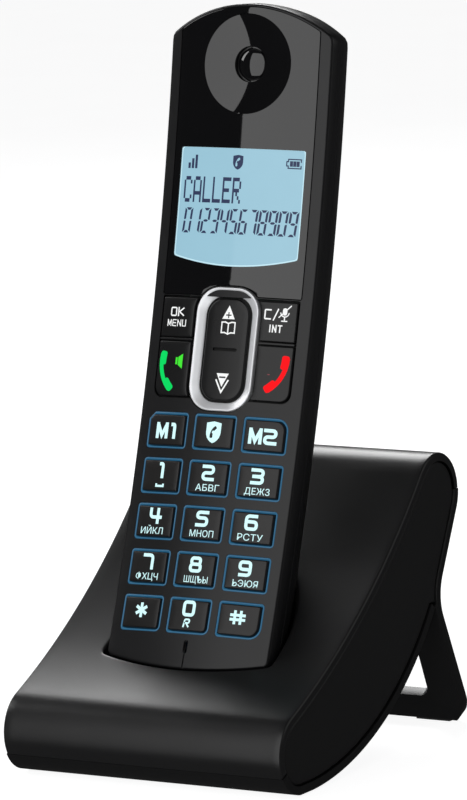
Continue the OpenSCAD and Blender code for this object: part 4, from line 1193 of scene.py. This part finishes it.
def make_soft_legends():
    top = -0.3 - 0.02
    ok = spell("OK", (-15.15, 92.0), (1.95, 2.4), 0.36, 0.35, 0.35)
    menu = spell("MENU", (-15.1, 89.1), (1.25, 1.8), 0.24, 0.3, 0.12)
    legend("legend_ok_menu", [union(ok), union(menu)], top, legend_white, "key_ok_menu")
    clear = letter("C", (11.9, 92.5), (1.95, 2.7), 0.38, 0.2) + letter("/", (14.15, 92.5), (1.5, 3.1), 0.34)
    head = [soften(round_rect(0.62, 0.95, 0.6) + [16.6, 93.35], 0.1, 0.05)]
    cradle = [stroke(arc((16.6, 93.2), 1.15, 190, 350, 14), 0.28), stroke([(16.6, 92.0), (16.6, 91.1)], 0.3),
              stroke([(15.9, 90.95), (17.3, 90.95)], 0.3), stroke([(15.1, 91.9), (18.15, 94.9)], 0.3)]
    word = spell("INT", (14.4, 88.9), (1.25, 2.0), 0.32, 0.3)
    legend("legend_clear_int", [union(clear), union(head + cradle), union(word)], top, legend_white, "key_clear_int")
    green = phone_loops((-16.6, 76.7), 10.4, 18, 1, 1.2, 1.95)
    legend("legend_talk", [union(green)], top, legend_green, "key_talk")
    horn = [[(-14.2, 78.4), (-13.6, 78.4), (-13.6, 80.2), (-14.2, 80.2)],
            [(-13.4, 78.3), (-12.0, 77.3), (-12.0, 81.2), (-13.4, 80.3)]]
    legend("legend_speaker", [union(horn)], top, legend_lime, "key_talk")
    red = phone_loops((15.9, 77.4), 10.4, -29, -1, 1.25, 2.05)
    legend("legend_end", [union(red)], top, legend_red, "key_end")
    legend("legend_end_line", [union([stroke([(13.6, 77.1), (18.4, 77.3)], 0.22)])], top + 0.01, legend_dim_red,
           "key_end")


def make_rocker_legends():
    up = np.array([(-1.85, 0), (1.85, 0), (0, 3.5)]) + [0.25, 90.75]
    arm, middle = 0.62, [0.25, 91.75]
    plus = [stroke(line, 0.34) + middle for line in ([(-arm, 0), (arm, 0)], [(0, -arm), (0, arm)])]
    pages = []
    for side in (-1, 1):
        page = [(0, 0), (0.95 * side, 0.35), (1.95 * side, 0.3), (1.95 * side, 3.0), (0.95 * side, 3.05),
                (0, 2.7), (0, 0)]
        path = np.array(page) + [0.4, 86.9]
        pages += [stroke(path[k:k + 2], 0.34) for k in range(len(path) - 1)]
    down = np.array([(-1.8, 0), (1.8, 0), (0, -3.5)])[::-1] + [0.25, 76.75]
    minus = stroke([(-0.75, 0), (0.75, 0)], 0.4) + [0.25, 75.75]
    vee = stroke([(-1.75, 1.75), (0, -1.3), (1.75, 1.75)], 0.42) + [0.25, 73.2]
    plates = [union([up], plus), union(pages), union([down], [minus]), union([vee])]
    legend("legend_rocker", plates, ROCK_D - 0.02, legend_white, "nav_rocker")


# ---- Display content ----
DOTS = {
    "C": ("01110", "10001", "10000", "10000", "10000", "10001", "01110"),
    "A": ("01110", "10001", "10001", "10001", "11111", "10001", "10001"),
    "L": ("10000", "10000", "10000", "10000", "10000", "10000", "11111"),
    "E": ("11111", "10000", "10000", "11110", "10000", "10000", "11111"),
    "R": ("11110", "10001", "10001", "11110", "10100", "10010", "10001"),
}
SEGMENTS = {"0": "abcdef", "1": "bc", "2": "abged", "3": "abgcd", "4": "fgbc", "5": "afgcd", "6": "afgedc",
            "7": "abc", "8": "abcdefg", "9": "abcdfg"}


def segment(name, w, h, t):
    """Outline of one bar of a seven-bar digit w wide and h high, about its middle."""
    gap = 0.09
    x, y = w / 2 - t / 2, h / 2 - t / 2
    if name in "ad":
        flip = 1 if name == "a" else -1
        loop = np.array([(-x + gap, y + t / 2), (x - gap, y + t / 2), (x - t, y - t * 0.55), (-x + t, y - t * 0.55)])
        return loop * [1, flip]
    if name == "g":
        return np.array([(-x + gap + 0.1, 0), (-x + t, t / 2), (x - t, t / 2), (x - gap - 0.1, 0), (x - t, -t / 2),
                         (-x + t, -t / 2)])
    flip_x = 1 if name in "bc" else -1
    flip_y = 1 if name in "bf" else -1
    loop = np.array([(x + t / 2, y + t / 2 - gap), (x - t / 2, y - t * 0.6), (x - t / 2, t * 0.62), (x, gap + 0.05),
                     (x + t / 2, t * 0.45)])
    return loop * [flip_x, flip_y]


def make_display_ink():
    shape = Shape()
    left, top = -16.95, 127.05
    cells = []
    for n, char in enumerate("CALLER"):
        for row, line in enumerate(DOTS[char]):
            for col, dot in enumerate(line):
                if dot == "1":
                    x, y = left + (6 * n + col) * DOT_U, top - row * DOT_S
                    cells.append([(x, y - DOT_S), (x + DOT_U, y - DOT_S), (x + DOT_U, y), (x, y)])
        lay(shape, union(cells), INK_D)
        cells = []
    for k, digit in enumerate("012345678909"):
        mid = np.array([-15.0 + 2.842 * k, 115.75])
        bars = []
        for name in SEGMENTS[digit]:
            bar = segment(name, 2.5, 6.5, 0.62)
            bars.append(bar + np.outer(bar[:, 1], [0.1, 0]) + mid)
        lay(shape, union(bars), INK_D)
    for k, high in enumerate((1.45, 2.55, 3.5)):
        x = -16.1 + 1.08 * k
        lay(shape, union([[(x, 129.1), (x + 0.72, 129.1), (x + 0.72, 129.1 + high), (x, 129.1 + high)]]), INK_D)
    lay(shape, union([shield_loop(np.array([-0.75, 131.0]), 3.0, 3.8)],
                     phone_loops(np.array([-0.85, 131.05]), 2.2, -24, 1, 0.28, 0.58)), INK_D)
    case = [stroke([(17.3, 130.6), (17.3, 130.0), (13.75, 130.0), (13.75, 130.6), (13.3, 130.6), (13.3, 131.7),
                    (13.75, 131.7), (13.75, 132.3), (17.3, 132.3), (17.3, 131.7)], 0.3)]
    case += [np.array([(0, -0.7), (0.82, -0.7), (0.82, 0.7), (0, 0.7)]) + [14.2 + 0.92 * k, 131.15] for k in range(3)]
    for loop in case:
        lay(shape, union([loop]), INK_D)
    settle(shape.build("display_ink", [lcd_ink], weld=0.0005), "handset", "lcd_blue")


DOT_U, DOT_S = 0.503, 0.95
INK_D = 0.22


def make_dividers():
    """A raised strip between the upper and the lower soft key on each side."""
    for side, word in ((-1, "left"), (1, "right")):
        lines = []
        for s in (SOFT_MID - STRIP_H, SOFT_MID + STRIP_H):
            lines.append([float(ring_side(np.array(s - NAV_S), RING_CLEAR)) + 0.15, s])
        a, b = lines
        loop = np.array([a, [SOFT_OUT - 0.3, SOFT_MID - STRIP_H], [SOFT_OUT - 0.3, SOFT_MID + STRIP_H], b]) * [side, 1]
        loop = loop if side > 0 else loop[::-1]
        button("divider_" + word, soften(loop, 0.12, 0.06), 0.22, 0.12, hand_black, "handset", "handset_black", [],
               deep=1.3)


STRIP_H = 0.28

make_key_legends()
make_soft_legends()
make_rocker_legends()
make_display_ink()
make_dividers()


# ---- Carried-over CAD nodes ----
CAD_FINISH = {
    "base_pcb": board_green, "handset_pcb": board_green,
    "base_rf_shield": tin_metal, "handset_rf_shield": tin_metal, "page_switch": tin_metal,
    "base_screws": tin_metal, "handset_screws": tin_metal, "battery_contacts": tin_metal,
    "earpiece_speaker": tin_metal, "microphone": tin_metal, "ringer_speaker": tin_metal,
    "base_antenna": gold_metal, "handset_antenna": gold_metal, "charge_springs": gold_metal,
    "handset_charge_pads": gold_metal, "line_jack": gloss_black, "power_jack": gloss_black,
    "page_button": key_black, "base_feet": rubber_grey, "lcd_holder": white_plastic,
    "battery_cells": sleeve,
}
for node, mat in CAD_FINISH.items():
    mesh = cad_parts[node].data
    mesh.materials.clear()
    mesh.materials.append(mat)


# ---- Floor, light and camera ----
def make_floor():
    bm = bmesh.new()
    bmesh.ops.create_grid(bm, x_segments=1, y_segments=1, size=6.0)
    mesh = bpy.data.meshes.new("floor")
    bm.to_mesh(mesh)
    bm.free()
    floor = bpy.data.objects.new("floor", mesh)
    bpy.context.scene.collection.objects.link(floor)
    mesh.materials.append(surface("floor_white", (0.92, 0.92, 0.922), 0.8, grain=40, bump=0.0, vary=0.01,
                                  rough_vary=0.05, specular=0.1, glow=1.0, dim=0.3))
    floor.visible_glossy = False


def softbox(name, place, target, size, power, spread=180.0):
    """A soft rectangular lamp, size in metres, aimed at the target."""
    lamp = bpy.data.lights.new(name, "AREA")
    lamp.shape = "RECTANGLE"
    lamp.size, lamp.size_y = size
    lamp.energy = power
    lamp.spread = rad(spread)
    obj = bpy.data.objects.new(name, lamp)
    bpy.context.scene.collection.objects.link(obj)
    obj.location = place
    obj.rotation_euler = (Vector(target) - Vector(place)).to_track_quat("-Z", "Y").to_euler()
    return obj


def toward(azimuth, elevation, distance, center=(0, 0, 0.1)):
    """A place seen from the center at an azimuth from the front (positive to the right) and an elevation."""
    a, e = rad(azimuth), rad(elevation)
    return (center[0] + distance * math.sin(a) * math.cos(e), center[1] - distance * math.cos(a) * math.cos(e),
            center[2] + distance * math.sin(e))


# Lamps by name: azimuth and elevation seen from the target, distance, width and height in metres, radiance
LENS_AT = (0.0, 0.0, 0.14)
LAMPS = {
    "front_box": (-2.6, 14.0, 1.2, 1.31, 1.90, 2.2),
    "back_left": (-143.0, 36.0, 0.9, 0.50, 0.42, 9.0),
    "left_side": (-80.0, 30.0, 1.0, 0.40, 0.5, 4.5),
    "right_fill": (115.0, 20.0, 1.3, 0.9, 0.9, 0.8),
}
CAMERA_WHITE, ROOM_DARK = 1.0, 0.035


def make_lights():
    """Soft boxes in a dark room, whose walls look white only to the camera."""
    world = bpy.data.worlds.new("studio")
    world.use_nodes = True
    nodes, links = world.node_tree.nodes, world.node_tree.links
    seen = nodes.new("ShaderNodeLightPath")
    level = nodes.new("ShaderNodeMapRange")
    level.inputs["To Min"].default_value = ROOM_DARK
    level.inputs["To Max"].default_value = CAMERA_WHITE
    links.new(seen.outputs["Is Camera Ray"], level.inputs["Value"])
    nodes["Background"].inputs["Color"].default_value = (1, 1, 1, 1)
    links.new(level.outputs["Result"], nodes["Background"].inputs["Strength"])
    bpy.context.scene.world = world
    bpy.context.scene.view_settings.view_transform = "Standard"
    for name, (azimuth, elevation, distance, width, height, radiance) in LAMPS.items():
        power = radiance * math.pi * width * height
        softbox(name, toward(azimuth, elevation, distance, LENS_AT), LENS_AT, (width, height), power)


CAMERA_AT = (837.85, -1374.91, 380.14)
CAMERA_AZ, CAMERA_ROLL = 31.288, -2.624
CAMERA_VIEW = (-0.51120, 0.84117, -0.17637)
FOCAL_PX, IMAGE_LONG_PX, SENSOR_MM = 6391.2, 800, 36.0


def make_camera():
    cam = bpy.data.cameras.new("camera")
    cam.sensor_width = SENSOR_MM
    cam.sensor_fit = "AUTO"
    cam.lens = FOCAL_PX * SENSOR_MM / IMAGE_LONG_PX
    cam.clip_end = 50
    obj = bpy.data.objects.new("camera", cam)
    bpy.context.scene.collection.objects.link(obj)
    view = Vector(CAMERA_VIEW).normalized()
    right0 = Vector((math.cos(rad(CAMERA_AZ)), math.sin(rad(CAMERA_AZ)), 0))
    up0 = right0.cross(view)
    c, s = math.cos(rad(CAMERA_ROLL)), math.sin(rad(CAMERA_ROLL))
    right, up = c * right0 + s * up0, -s * right0 + c * up0
    matrix = obj.matrix_world.to_3x3()
    for k, axis in enumerate((right, up, -view)):
        matrix.col[k] = axis
    obj.matrix_world = matrix.to_4x4()
    obj.location = Vector(CAMERA_AT) * MM
    bpy.context.scene.camera = obj


make_floor()
make_lights()
make_camera()
